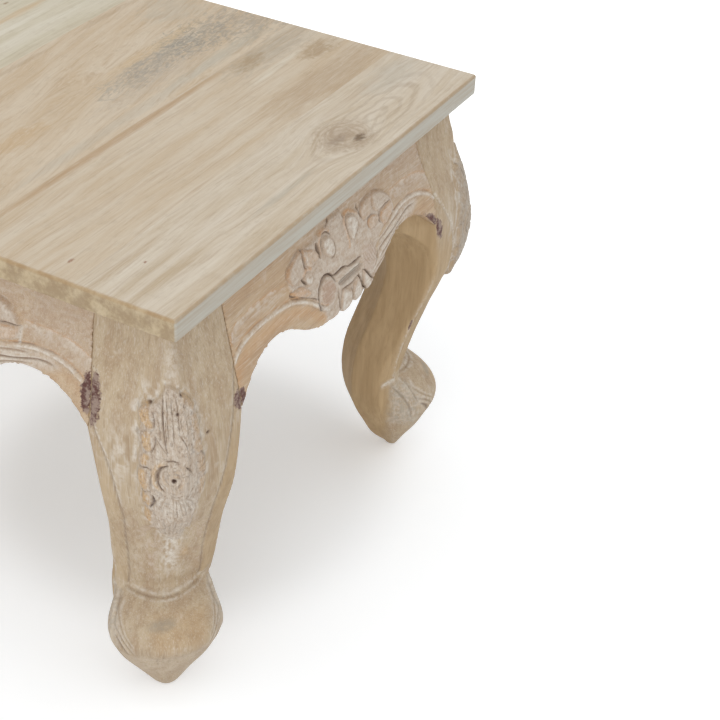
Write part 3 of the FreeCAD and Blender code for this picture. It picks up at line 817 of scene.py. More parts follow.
def fine_copy(node: str, voxel: float, name: str) -> bpy.types.Mesh:
    """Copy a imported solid's mesh and give it an even fine net.

    Args:
        node: The CAD node.
        voxel: The net's pitch.
        name: The new mesh's name.

    Returns:
        The new mesh.
    """
    holder = put(name + "_net", bpy.data.objects[node].data.copy())
    weld = holder.modifiers.new("weld", "WELD")
    weld.merge_threshold = 1e-5
    net = holder.modifiers.new("net", "REMESH")
    net.mode = "VOXEL"
    net.voxel_size = voxel
    relax = holder.modifiers.new("relax", "SMOOTH")
    relax.factor = 0.5
    relax.iterations = 3
    mesh = settle(holder)
    mesh.name = name
    return mesh


def split_faces(mesh: bpy.types.Mesh, chosen: np.ndarray) -> None:
    """Halve the net of a mesh where the chosen points lie, for finer carving.

    Args:
        mesh: The mesh.
        chosen: One true or false value for every point.
    """
    net = bmesh.new()
    net.from_mesh(mesh)
    net.verts.ensure_lookup_table()
    edges = [edge for edge in net.edges if chosen[edge.verts[0].index] and chosen[edge.verts[1].index]]
    bmesh.ops.subdivide_edges(net, edges=edges, cuts=1, use_grid_fill=True)
    bmesh.ops.triangulate(net, faces=[face for face in net.faces if len(face.verts) > 4])
    net.to_mesh(mesh)
    net.free()


def read_points(mesh: bpy.types.Mesh) -> tuple[np.ndarray, np.ndarray]:
    """Return a mesh's points and the normals at them."""
    count = len(mesh.vertices)
    places = np.empty(count * 3)
    mesh.vertices.foreach_get("co", places)
    normals = np.empty(count * 3)
    mesh.vertex_normals.foreach_get("vector", normals)
    return places.reshape(-1, 3), normals.reshape(-1, 3)


def write_mark(mesh: bpy.types.Mesh, name: str, values: np.ndarray) -> None:
    """Store one number for every point of a mesh."""
    layer = mesh.attributes.get(name) or mesh.attributes.new(name, "FLOAT", "POINT")
    layer.data.foreach_set("value", np.clip(values, 0.0, 1.0).astype(np.float32))


def place_piece(mesh: bpy.types.Mesh, name: str, matrix: Matrix, material: bpy.types.Material,
                nodes: tuple[str, ...]) -> bpy.types.Object:
    """Put a mesh into the scene as a finished piece.

    Args:
        mesh: The mesh, in its own frame.
        name: The piece's name.
        matrix: From its frame to the table's frame.
        material: Its material.
        nodes: The CAD nodes that it stands for.

    Returns:
        The piece.
    """
    mesh.transform(matrix)
    mesh.materials.clear()
    mesh.materials.append(material)
    mesh.shade_smooth()
    piece = put(name, mesh)
    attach(piece, "root")
    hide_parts(*nodes)
    LOG.info("%s: %d points", name, len(mesh.vertices))
    return piece


@dataclass
class PlankTop:
    """The top: four boards with their grain along X, as the sawyer left it in each."""

    def front_board(self) -> LimedPlank:
        """Return the finish of the pale front board with its knot."""
        swirl = Knot((0.070, -0.207, TABLE_HEIGHT), (0.034, 0.027, 0.2), 0.90, 5.0)
        tail = Knot((0.120, -0.211, TABLE_HEIGHT), (0.112, 0.030, 0.2), 0.55, 4.0)
        stains = (
            Stain((70, -207), (34, 25), "#AD9A84", 0.7, 6.0, 1.5, 1.0),
            Stain((76, -220.5), (9, 4.5), "#5B4834", 0.9, 3.0, 1.5),
            Stain((61, -207), (14, 6), "#8E7D6D", 0.6, 3.0, 1.5),
            Stain((75, -229), (22, 4), "#9C8468", 0.5, 3.0, 2.0),
            Stain((-200, -211), (60, 5), "#A4895F", 0.42, 3.0, 14.0),
            Stain((-40, -217), (55, 4), "#A39C8C", 0.45, 3.0, 12.0),
            Stain((-150, -240), (110, 6), "#AC936E", 0.35, 3.0, 16.0),
            Stain((-190, -228), (80, 4), "#D8CFBF", 0.45, 2.0, 18.0),
            Stain((-200, -193), (70, 5), "#AE9876", 0.36, 2.5, 16.0),
            Stain((-185, -182), (90, 4), "#D8CFBF", 0.45, 2.0, 18.0),
            Stain((-215, -172), (60, 4), "#AE9674", 0.36, 2.5, 16.0),
            Stain((150, -176), (80, 4), "#B09A7E", 0.35, 3.0, 12.0),
            Stain((205, -185), (50, 20), "#B9B4A8", 0.45, 7.0, 4.0),
            Stain((-195, -185), (2, 1.2), "#8A5A44", 0.8, 1.5, 1.5),
        )
        return LimedPlank("limed_board_pale", "#D1C6B5", "#C2B29A", "#A48C70",
                          GrainLook(shift=(0.31, 0.05, 0.0), band_mm=9.0, wander_mm=13.0,
                                    knots=(swirl, tail)), stains)

    def second_board(self) -> LimedPlank:
        """Return the finish of the tan board with brown heart along its back edge."""
        stains = (
            Stain((-50, -49.5), (220, 4.5), "#AB8A63", 0.70, 3.5, 22.0),
            Stain((165, -140), (120, 24), "#AE9678", 0.70, 12.0, 4.0, 0.6),
            Stain((215, -97), (30, 15), "#A08765", 0.75, 8.0, 1.6, 0.9),
            Stain((150, -86), (60, 5), "#DAD5C6", 0.50, 3.0, 14.0),
            Stain((190, -62), (80, 19), "#A89D8B", 0.60, 6.0, 3.0, 0.9),
            Stain((148, -60), (28, 10), "#A08866", 0.65, 7.0, 1.8, 0.9),
            Stain((40, -162), (190, 3), "#AA9474", 0.32, 3.0, 24.0),
            Stain((-224, -137), (4, 1.8), "#8A5A44", 0.85, 1.5, 1.5),
        )
        return LimedPlank("limed_board_tan", "#CDC0AC", "#C1AD91", "#A88D70",
                          GrainLook(shift=(1.73, 0.61, 0.0), band_mm=11.0, wander_mm=8.0), stains)

    def third_board(self) -> LimedPlank:
        """Return the finish of the figured board with its blue-grey crinkle."""
        stains = (
            Stain((60, 8), (48, 18), "#A59C8D", 0.75, 8.0, 2.2, 1.8),
            Stain((110, 12), (60, 18), "#9B9387", 0.75, 7.0, 2.0, 2.0),
            Stain((165, 12), (48, 26), "#8F8A7F", 0.80, 8.0, 1.6, 2.2),
            Stain((70, -10), (100, 15), "#B5A897", 0.40, 5.0, 3.0, 0.9),
            Stain((225, -8), (45, 44), "#9F9586", 0.75, 9.0, 1.8, 1.8),
            Stain((150, -30), (95, 9), "#AAA596", 0.50, 4.0, 8.0, 0.8),
            Stain((130, 32), (80, 7), "#C7AB80", 0.35, 3.0, 5.0, 0.8),
            Stain((-95, 18), (45, 12), "#BB9A6C", 0.45, 6.0, 3.0, 0.8),
            Stain((-20, -33), (200, 7), "#BDB5A6", 0.50, 5.0, 14.0),
            Stain((25, 112), (50, 4), "#A48B6A", 0.42, 3.0, 10.0),
            Stain((165, 113), (55, 4), "#A38A6A", 0.42, 3.0, 10.0),
            Stain((210, 70), (40, 30), "#B5AE9E", 0.45, 6.0, 3.0, 1.0),
        )
        return LimedPlank("limed_board_figured", "#CDBEA8", "#C0AA8C", "#A78B6C",
                          GrainLook(turn=(0.0, 0.0, math.radians(-9.0)), shift=(2.39, 1.17, 0.0),
                                    band_mm=12.0, wander_mm=24.0), stains)

    def back_board(self) -> LimedPlank:
        """Return the finish of the greyer back board."""
        stains = (
            Stain((115, 187), (60, 6), "#BE9E70", 0.55, 5.0, 10.0),
            Stain((60, 125), (160, 6), "#B3A587", 0.4, 5.0, 14.0),
            Stain((128, 212), (4, 2), "#8A6A4A", 0.7, 2.0, 1.5),
            Stain((120, 150), (90, 5), "#DCD7C9", 0.45, 3.0, 12.0),
            Stain((70, 170), (90, 4), "#DCD7C9", 0.40, 3.0, 12.0),
        )
        return LimedPlank("limed_board_grey", "#D0C8B6", "#C5BCA4", "#B0A48A",
                          GrainLook(shift=(4.11, 2.2, 0.0), band_mm=10.0, wander_mm=6.0), stains)

    def dress(self) -> None:
        """Give every board its material."""
        finishes = (self.front_board(), self.second_board(), self.third_board(), self.back_board())
        for number, finish in enumerate(finishes, start=1):
            dress_node("top_board_%d" % number, finish.material())


@dataclass
class ApronCarving:
    """The carved aprons, all four to one pattern: a leafy middle over beaded arches."""

    net_mm: float = 1.5
    proud_mm: float = 2.0
    left_bead: Line = ((-190, 290), (-186, 300), (-182, 318), (-175, 334), (-164, 344), (-145, 349.5),
                       (-120, 350.5), (-98, 349), (-79, 346), (-64, 340), (-54, 334), (-45, 326.5),
                       (-40, 322.5), (-33, 320.5))
    right_bead: Line = ((70, 340.6), (83, 341.8), (98, 345.5), (110, 348), (124, 348.5), (146, 345),
                        (165, 335), (181, 318), (196, 299))

    def beads(self, relief: Relief) -> None:
        """Cut the beads over both arches and sink the limed panels above them.

        Args:
            relief: The apron's relief.
        """
        far, along, side = relief.near(self.left_bead)
        fade = soft(1.0 - along, 0.0, 0.05)
        self.bead(relief, far, np.where(side > 0, far, -far), fade)
        relief.mark("raw", 0.45 * fade * np.where(side < 0, hump(far - 8.0, 6.0), 0.0))
        far, along, side = relief.near(self.right_bead)
        fade = soft(along, 0.05, 0.3)
        self.bead(relief, far, np.where(side > 0, far, -far), fade)
        for line, reach in (
                (((-166, 352), (-162, 361), (-150, 366), (-125, 367), (-100, 366), (-78, 362)), 15.0),
                (((98, 366), (125, 366), (150, 363), (172, 354)), 14.0)):
            far, along, side = relief.near(line)
            ends = within(along, 0.0, 0.06, 0.88, 1.0)
            below = np.where(side < 0, 1.0 - soft(far, 0.0, reach), 0.0) * ends
            relief.height -= 0.9 * below
            relief.mark("lime", 0.62 * below, 0.05, 0.7)
            relief.mark("raw", 0.75 * ends * hump(far, 1.3), 0.1, 0.5)

    def bead(self, relief: Relief, far: np.ndarray, signed: np.ndarray, fade: np.ndarray) -> None:
        """Cut one bead: a white roll with a thin line of raw orange wood above it, and painted shade in the
        grooves above and below it.

        Args:
            relief: The apron's relief.
            far: The distance from the bead's line.
            signed: The same, positive above the line.
            fade: Where the bead runs out.
        """
        relief.height += fade * (0.8 * hump(far, 1.4) - 0.9 * hump(signed - 2.5, 0.8)
                                 - 0.5 * hump(signed + 2.2, 0.8))
        relief.mark("lime", fade * hump(far, 1.5))
        relief.mark("raw", fade * 0.8 * hump(signed - 3.3, 0.9), 0.1, 0.5)
        # painted shade in the grooves above and below the bead
        relief.mark("cut", fade * 0.45 * hump(signed - 2.4, 0.6), 0.2, 0.7)
        relief.mark("cut", fade * 0.22 * hump(signed + 2.3, 0.6), 0.3, 0.7)

    def middle(self, relief: Relief) -> None:
        """Carve the middle: bosses, ovals, bars and hanging petals."""
        relief.field(((-78, 357), (-77, 367), (-70, 375), (-60, 380), (-50, 380.5), (-44, 379),
                      (-30, 378.5), (-16, 382), (-6, 385.5), (17, 385.5), (20, 380), (34, 377), (45, 375),
                      (56, 378), (68, 379.5), (80, 377), (90, 371), (98, 363), (100, 352), (84, 346),
                      (70, 342), (58, 334), (52, 324), (45, 314), (44, 304), (20, 298), (-10, 298),
                      (-36, 303), (-40, 316), (-46, 328), (-56, 338), (-70, 346)), self.proud_mm, 2.4, 0.50)
        around = np.exp(-((relief.across - 25) / 85.0) ** 4) * soft(relief.up, 366.0, 376.0)
        relief.mark("carved", 0.6 * around)
        relief.mark("lime", 0.40 * around, 0.3, 0.8)
        self.bosses(relief)
        self.bars(relief)
        self.petals(relief)
        self.ovals(relief)
        relief.slots(
            (((-9.5, 381.5), (-5, 383.4), (-1, 386)), 1.2, 2.0, 0.75),
            (((16.5, 386.5), (18.5, 381), (19.5, 376)), 0.9, 1.5, 0.55))

    def bosses(self, relief: Relief) -> None:
        """Carve the two round bosses at the ends of the bars."""
        relief.dome((-29.5, 332.5), (12.4, 12.6), 2.2)
        disc = soft(12.6 - np.hypot(relief.across + 29.5, relief.up - 332.5), 0.0, 3.0)
        relief.clear("lime", 0.85 * disc * soft(relief.up - 0.5 * relief.across, 336.0, 344.0))
        relief.mark("rose", 0.50 * disc * soft(relief.up - 0.5 * relief.across, 334.0, 344.0))
        relief.slot(((-41.5, 320), (-45, 331), (-40, 341.5), (-29.5, 346.6), (-20, 344.0), (-15.5, 336)),
                    1.7, 2.6, 1.0)
        relief.ridge(((-48, 333), (-45.5, 328), (-40, 321), (-31, 318.5)), 1.5, 0.9, 1.0)
        relief.dome((41.0, 332.5), (13.5, 13.5), 1.8)
        disc = soft(13.5 - np.hypot(relief.across - 41, relief.up - 332.5), 0.0, 3.0)
        relief.mark("rose", 0.55 * disc, 0.0, 0.5)
        for step in range(6):
            start = 31.0 + 3.6 * step
            relief.slot(((start, 339 + 0.6 * step), (start + 3.5, 332), (start + 8, 326)), 0.45, 0.5, 0.45)
        relief.slot(((44, 320.0), (51.5, 321.2), (57.5, 325), (59.5, 329.5)), 1.2, 1.8, 0.85)
        relief.ridge(((42, 317), (50, 317), (57, 321.4), (70, 328.0)), 1.5, 0.9, 1.0)

    def bars(self, relief: Relief) -> None:
        """Carve the two bars between the bosses, with deep lines over and under them."""
        relief.slots(
            (((-19, 342.2), (-10, 341.0), (-2, 341.4), (7, 339.4)), 1.5, 2.8, 1.0),
            (((6, 339.0), (16, 338.0), (30, 338.2)), 1.3, 2.6, 1.0))
        relief.ridge(((-14, 336.0), (0, 335.6), (27, 335.3)), 1.2, 1.0, 1.0)
        shade = ((-12, 333.6), (6, 333.8), (27, 333.2), (25, 328), (6, 327.6), (-8, 328))
        lower = soft(relief.inside(shade), -0.2, 0.9)
        relief.height -= 0.9 * lower
        # painted shade in the lowered band under the bars: lime cleared, grey and rose laid in
        relief.clear("lime", 0.8 * lower)
        relief.mark("smoke", 0.55 * lower)
        relief.mark("rose", 0.45 * lower)
        relief.slots(
            (((-13, 333.4), (5, 333.6), (27, 333.0)), 0.8, 1.2, 0.85),
            (((-11, 331.0), (5, 331.4), (25, 330.8)), 0.5, 0.7, 0.70),
            (((-9, 329.0), (6, 329.3), (21, 329.0)), 0.5, 0.7, 0.60))
        relief.ridge(((-11, 332.3), (5, 332.6), (25, 332.0)), 0.6, 0.5, 0.7)
        relief.ridge(((-8, 328.0), (5, 327.9), (22, 328.0)), 0.6, 0.4, 0.6)
        relief.ridge(((-9, 326.9), (5, 326.4), (22, 326.8)), 0.9, 0.5, 0.8)
        relief.slot(((-9, 325.2), (0, 323.8), (8, 323.2), (17, 325.0)), 1.0, 2.2, 0.85)

    def ovals(self, relief: Relief) -> None:
        """Carve the two white ovals with their rubbed rims."""
        left = ((-20, 371.3), (-15.7, 375), (-8.6, 373), (-3.6, 368), (-4, 360.6), (-7.9, 356.3),
                (-14.3, 357), (-19.3, 362), (-20.7, 367))
        right = ((21.4, 374), (28.6, 375.6), (35.7, 372.7), (38.6, 367.7), (37.1, 362), (31.4, 358.4),
                 (27, 354.9), (23.6, 355.6), (21.4, 360.6), (20.7, 367.7))
        for outline in (left, right):
            relief.leaf(outline, 2.2, 1.0, 0.0, 0.1, 0.3)
        relief.ridge(((-26, 362), (-24.6, 373), (-18.5, 380.0), (-11, 380.2), (-4, 375.5)),
                     1.4, 1.2, 0.0, 0.85)
        relief.slots(
            (((-21.8, 362), (-22.4, 370), (-17.0, 377.6), (-10, 377.6), (-4, 372)), 1.1, 1.8, 0.85),
            (((-3.4, 369), (-2.6, 361), (-6.5, 355.4), (-12, 355)), 0.8, 1.1, 0.6))
        relief.ridge(((15.5, 350), (18.8, 356.5), (18.6, 365), (18.3, 371.5), (22, 378.4), (32, 378.4),
                      (43.5, 370)), 1.4, 1.1, 0.0, 0.85)
        relief.slots(
            (((20.3, 358), (19.9, 366), (21.4, 374.6), (27, 377)), 0.8, 1.4, 0.6),
            (((39.6, 370), (38.6, 362), (33, 357.4), (26, 353.4)), 0.6, 0.8, 0.4))
        relief.dome((7.5, 368.0), (10.0, 17.0), 1.2)

    def petals(self, relief: Relief) -> None:
        """Carve the petals that hang below the bars."""
        left = ((-8.6, 323.4), (-1.4, 322.5), (5, 318), (5.8, 310.6), (1, 303.5), (-7, 301.5), (-12.1, 305),
                (-12.9, 314.9))
        middle = ((8.4, 316.3), (14.0, 323.6), (19.0, 323.6), (22.3, 313.4), (24.3, 307), (18.6, 301.5),
                  (11.4, 304.5), (7.4, 310.6))
        right = ((26.2, 320), (28.6, 325.2), (32.6, 321.6), (40.0, 311.6), (41.5, 305), (35.7, 302),
                 (30.6, 306), (26.4, 313.9))
        for outline in (left, middle, right):
            relief.leaf(outline, 2.8, 0.0, 0.0, 0.2, 0.3)
            relief.mark("lime", 0.95 * soft(relief.inside(outline), 0.8, 3.4))
        relief.dome((-26, 309), (9.0, 8.0), 1.2)
        relief.mark("raw", 0.45 * relief.patch(-24, 306, 12.0, 4.0))
        relief.slots(
            (((-14.4, 327), (-15.2, 316), (-15, 305)), 1.3, 2.6, 0.8),
            (((5.6, 321), (6.8, 313), (6.3, 305)), 1.0, 2.2, 0.6),
            (((19.6, 326.5), (22.2, 319.5), (25, 312.5), (31, 305.5)), 1.9, 3.4, 1.0),
            (((30.5, 325.5), (36.5, 317.5), (43.5, 310)), 1.2, 2.6, 1.0))

    def leaves(self, relief: Relief) -> None:
        """Carve the leaves to the left and right of the middle."""
        relief.leaf(((-76.4, 363.4), (-75.7, 368.4), (-71.4, 372.7), (-64.3, 375.9), (-57.1, 378.7),
                     (-51.6, 379.2), (-51.0, 374), (-53.1, 366), (-52, 362), (-57.1, 359.6), (-66, 358.4),
                     (-74, 359.6)), 2.2, 0.40, 0.0, 0.7, 0.3)
        relief.leaf(((-49.2, 377.4), (-45.4, 377), (-40, 374.6), (-35, 372.9), (-28.8, 368), (-28.8, 364.4),
                     (-34, 362.4), (-40, 361), (-45, 362), (-48.4, 367)), 2.0, 0.15, 0.45, 0.9, 0.3)
        relief.mark("lime", hump(relief.across + 46.5, 1.6) * within(relief.up, 363, 366, 372, 376))
        relief.leaf(((-57.5, 357), (-54, 359.4), (-48, 359), (-44.5, 356.6), (-46.5, 351), (-52, 348.6),
                     (-56, 351.5)), 1.9, 0.95, 0.0, 0.4, 0.3)
        relief.ridge(((-60, 360.5), (-51.4, 362.6), (-42, 360)), 1.3, 0.9, 0.0, 1.0)
        relief.leaf(((-78.6, 352), (-72.9, 354.3), (-63, 353), (-56, 348), (-52.9, 344), (-56, 342.6),
                     (-68.6, 346.3), (-76.4, 348.6)), 1.4, 0.1, 0.85, 0.9, 0.4)
        for step in range(7):
            start = -71.0 + 3.2 * step
            relief.slot(((start, 348.6 - 1.7 * step), (start + 3.4, 345.8 - 1.7 * step),
                         (start + 6.4, 344.8 - 1.7 * step)), 0.6, 1.2, 0.7)
        relief.leaf(((46.5, 371), (51.4, 374.9), (58.6, 376.9), (66.0, 378.3), (67.5, 375.6), (64.3, 368.4),
                     (62.5, 363.6), (54.3, 362.4), (47.6, 363)), 1.8, 0.35, 0.25, 0.5, 0.3)
        relief.leaf(((69.0, 376.2), (74.3, 377.4), (81.4, 375.3), (88.6, 371.5), (95.2, 365), (96.5, 362),
                     (85.7, 361.6), (76, 360.8), (69.4, 362), (66.8, 367.7)), 2.0, 0.40, 0.0, 0.45, 0.2)
        relief.leaf(((53, 357), (57.1, 360.2), (64.3, 360.2), (70, 357.4), (70.4, 353.8), (62, 351),
                     (54.4, 352.8)), 1.5, 0.2, 0.40, 1.0, 0.5)
        relief.leaf(((74.4, 353.5), (77.1, 357.2), (85.7, 358.6), (96.4, 360), (95.8, 354.9), (93.6, 351.6),
                     (82.9, 346.8), (76, 346.8)), 1.8, 0.1, 0.50, 1.0, 0.2)
        relief.slots(
            (((-50.4, 380), (-51.6, 371.5), (-50.2, 363)), 2.0, 2.6, 0.95),
            (((-26.8, 376), (-28.0, 369), (-26.8, 361.5)), 2.0, 2.8, 0.95),
            (((-60.5, 359.5), (-58.6, 355.8), (-55, 351.5)), 1.5, 2.2, 0.95),
            (((-79, 353.5), (-77, 350.6), (-73, 349)), 1.2, 1.8, 0.9),
            (((46, 378), (44.2, 372.5), (46, 365.5)), 1.3, 2.2, 0.65),
            (((54, 359.5), (58, 362), (65, 361.8)), 0.6, 1.0, 0.6),
            (((71.8, 350), (72.6, 355), (76, 359.0)), 1.8, 2.4, 0.95),
            (((75, 358.8), (86, 360.6), (98, 361.6)), 0.9, 1.8, 0.8))
        relief.groove(((98.9, 363), (98.8, 355), (98.6, 346)), 1.5, 1.4, 0.0, 0.1)
        relief.mark("lime", hump(relief.across - 98.8, 1.6) * within(relief.up, 345, 348, 359, 363))

    def sweeps(self, relief: Relief) -> None:
        """Cut the lines that sweep from the middle up to the right arch, in limed wood."""
        zone = relief.inside(((46, 322), (58, 330), (75, 341), (100, 346), (128, 347), (140, 340),
                              (120, 332), (100, 325), (85, 316), (66, 307), (46, 304)))
        relief.mark("lime", 0.50 * soft(zone, -3.0, 4.0), 0.1, 0.6)
        relief.mark("carved", 0.8 * soft(zone, -4.0, 4.0))
        relief.mark("carved", 0.6 * soft(relief.across, 88.0, 112.0) * soft(relief.up, 336.0, 348.0))
        above = soft(relief.across, 88.0, 112.0) * soft(relief.up, 340.0, 352.0)
        relief.mark("lime", 0.22 * above, 0.3, 0.8)
        for line, depth, dark in (
                (((58, 327), (71, 330.3), (83, 332.6), (96, 335), (120, 341), (140, 340)), 1.4, 0.6),
                (((60, 321), (75, 325), (92, 331), (112, 336)), 0.9, 0.4),
                (((62, 335), (76, 337), (92, 340.6), (112, 344)), 0.9, 0.35),
                (((52, 315), (66, 318), (82, 324), (100, 331.5)), 0.8, 0.35)):
            relief.groove(line, 1.0, depth, 0.8, dark)

    def build(self, material: bpy.types.Material) -> None:
        """Carve one apron and set it on all four sides.

        Args:
            material: The carving's finish.
        """
        mesh = fine_copy("apron_front", self.net_mm * MM, "apron_carved")
        places, normals = read_points(mesh)
        split_faces(mesh, (np.abs(places[:, 0] - 0.010) < 0.105) & (places[:, 2] > 0.299)
                    & (places[:, 1] < -0.222) & (normals[:, 1] < 0.2))
        places, normals = read_points(mesh)
        places += normals * 0.35 * MM
        across, up = places[:, 0] / MM, places[:, 2] / MM
        depth = -places[:, 1] / MM
        front = soft(-normals[:, 1], 0.15, 0.6) * soft(depth, 226.0, 229.0)
        relief = Relief(across, up, (0.4, 1.0))
        self.beads(relief)
        self.sweeps(relief)
        self.middle(relief)
        self.leaves(relief)
        places[:, 1] -= np.clip(relief.height, -4.5, 3.4) * MM * front
        places[:, 1] = np.maximum(places[:, 1], float(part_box("leg_front_left")[0][1]))
        lobes = np.array(((-26.0, 11.0), (-4.5, 10.5), (15.5, 9.5), (34.5, 9.0)))
        bend = np.min(((across[:, None] - lobes[:, 0]) / lobes[:, 1]) ** 2, axis=1)
        scallop = 4.2 * np.clip(bend, 0.0, 1.0) ** 1.5 + 2.6 * soft(-across, 13.0, 17.0)
        scallop = scallop * soft(-np.abs(across - 4.0), -44.0, -38.0)
        places[:, 2] += MM * scallop * soft(-up, -311.0, -303.5) * soft(depth, 236.0, 246.0)
        mesh.vertices.foreach_set("co", places.ravel())
        for name, values in relief.marks.items():
            write_mark(mesh, name, values * front)
        write_mark(mesh, "inner", soft(normals[:, 1], -0.1, 0.4))
        mesh.update()
        for side in Side:
            turned = Matrix.Rotation(math.radians(side.value), 4, "Z")
            name = "apron_%s" % side.label
            copy = mesh.copy()
            write_mark(copy, "knot", self.knots(side, relief) * front)
            place_piece(copy, "carved_" + name, turned, material, (name,))

    def knots(self, side: Side, relief: Relief) -> np.ndarray:
        """Return the knots at the ends of one apron, where it meets a leg's own knot."""
        found = {Side.LEFT: ((170.0, 331.0, 10.0, 22.0, 0.0),),
                 Side.FRONT: ((-170.0, 311.0, 6.0, 11.0, 0.0), (162.0, 312.0, 8.5, 12.0, -45.0))}
        return knot_marks(found.get(side, ()), relief.across, relief.up)


@dataclass(frozen=True)
class LegHand:
    """What the carver's hand made of one leg: its border lines, knots and lean; also the tones of its brown
    border bands, plain wood in part and painted shade in part.
    """

    left: Line = ((-59, 320), (-58.3, 308), (-56.5, 297), (-52, 282), (-47.5, 262), (-44, 240),
                  (-39.5, 215), (-37, 190), (-34.5, 150), (-33, 118))
    right: Line = ((56.4, 341), (55.2, 334), (54.2, 318), (52.4, 300), (49.5, 283), (45, 258), (39, 236),
                   (34, 212), (31, 190), (29, 160), (28.5, 118))
    # tones of the left and right bands: plain unlimed wood, darker on the leg's shaded side as painted shade
    bands: tuple[float, float] = (0.30, 0.70)
    lean_mm: float = 0.0
    shift_mm: float = 0.0
    drop_mm: float = 0.0
    rubbed: float = 1.0
    knots: Knots = ()
    side_knots: Knots = ()


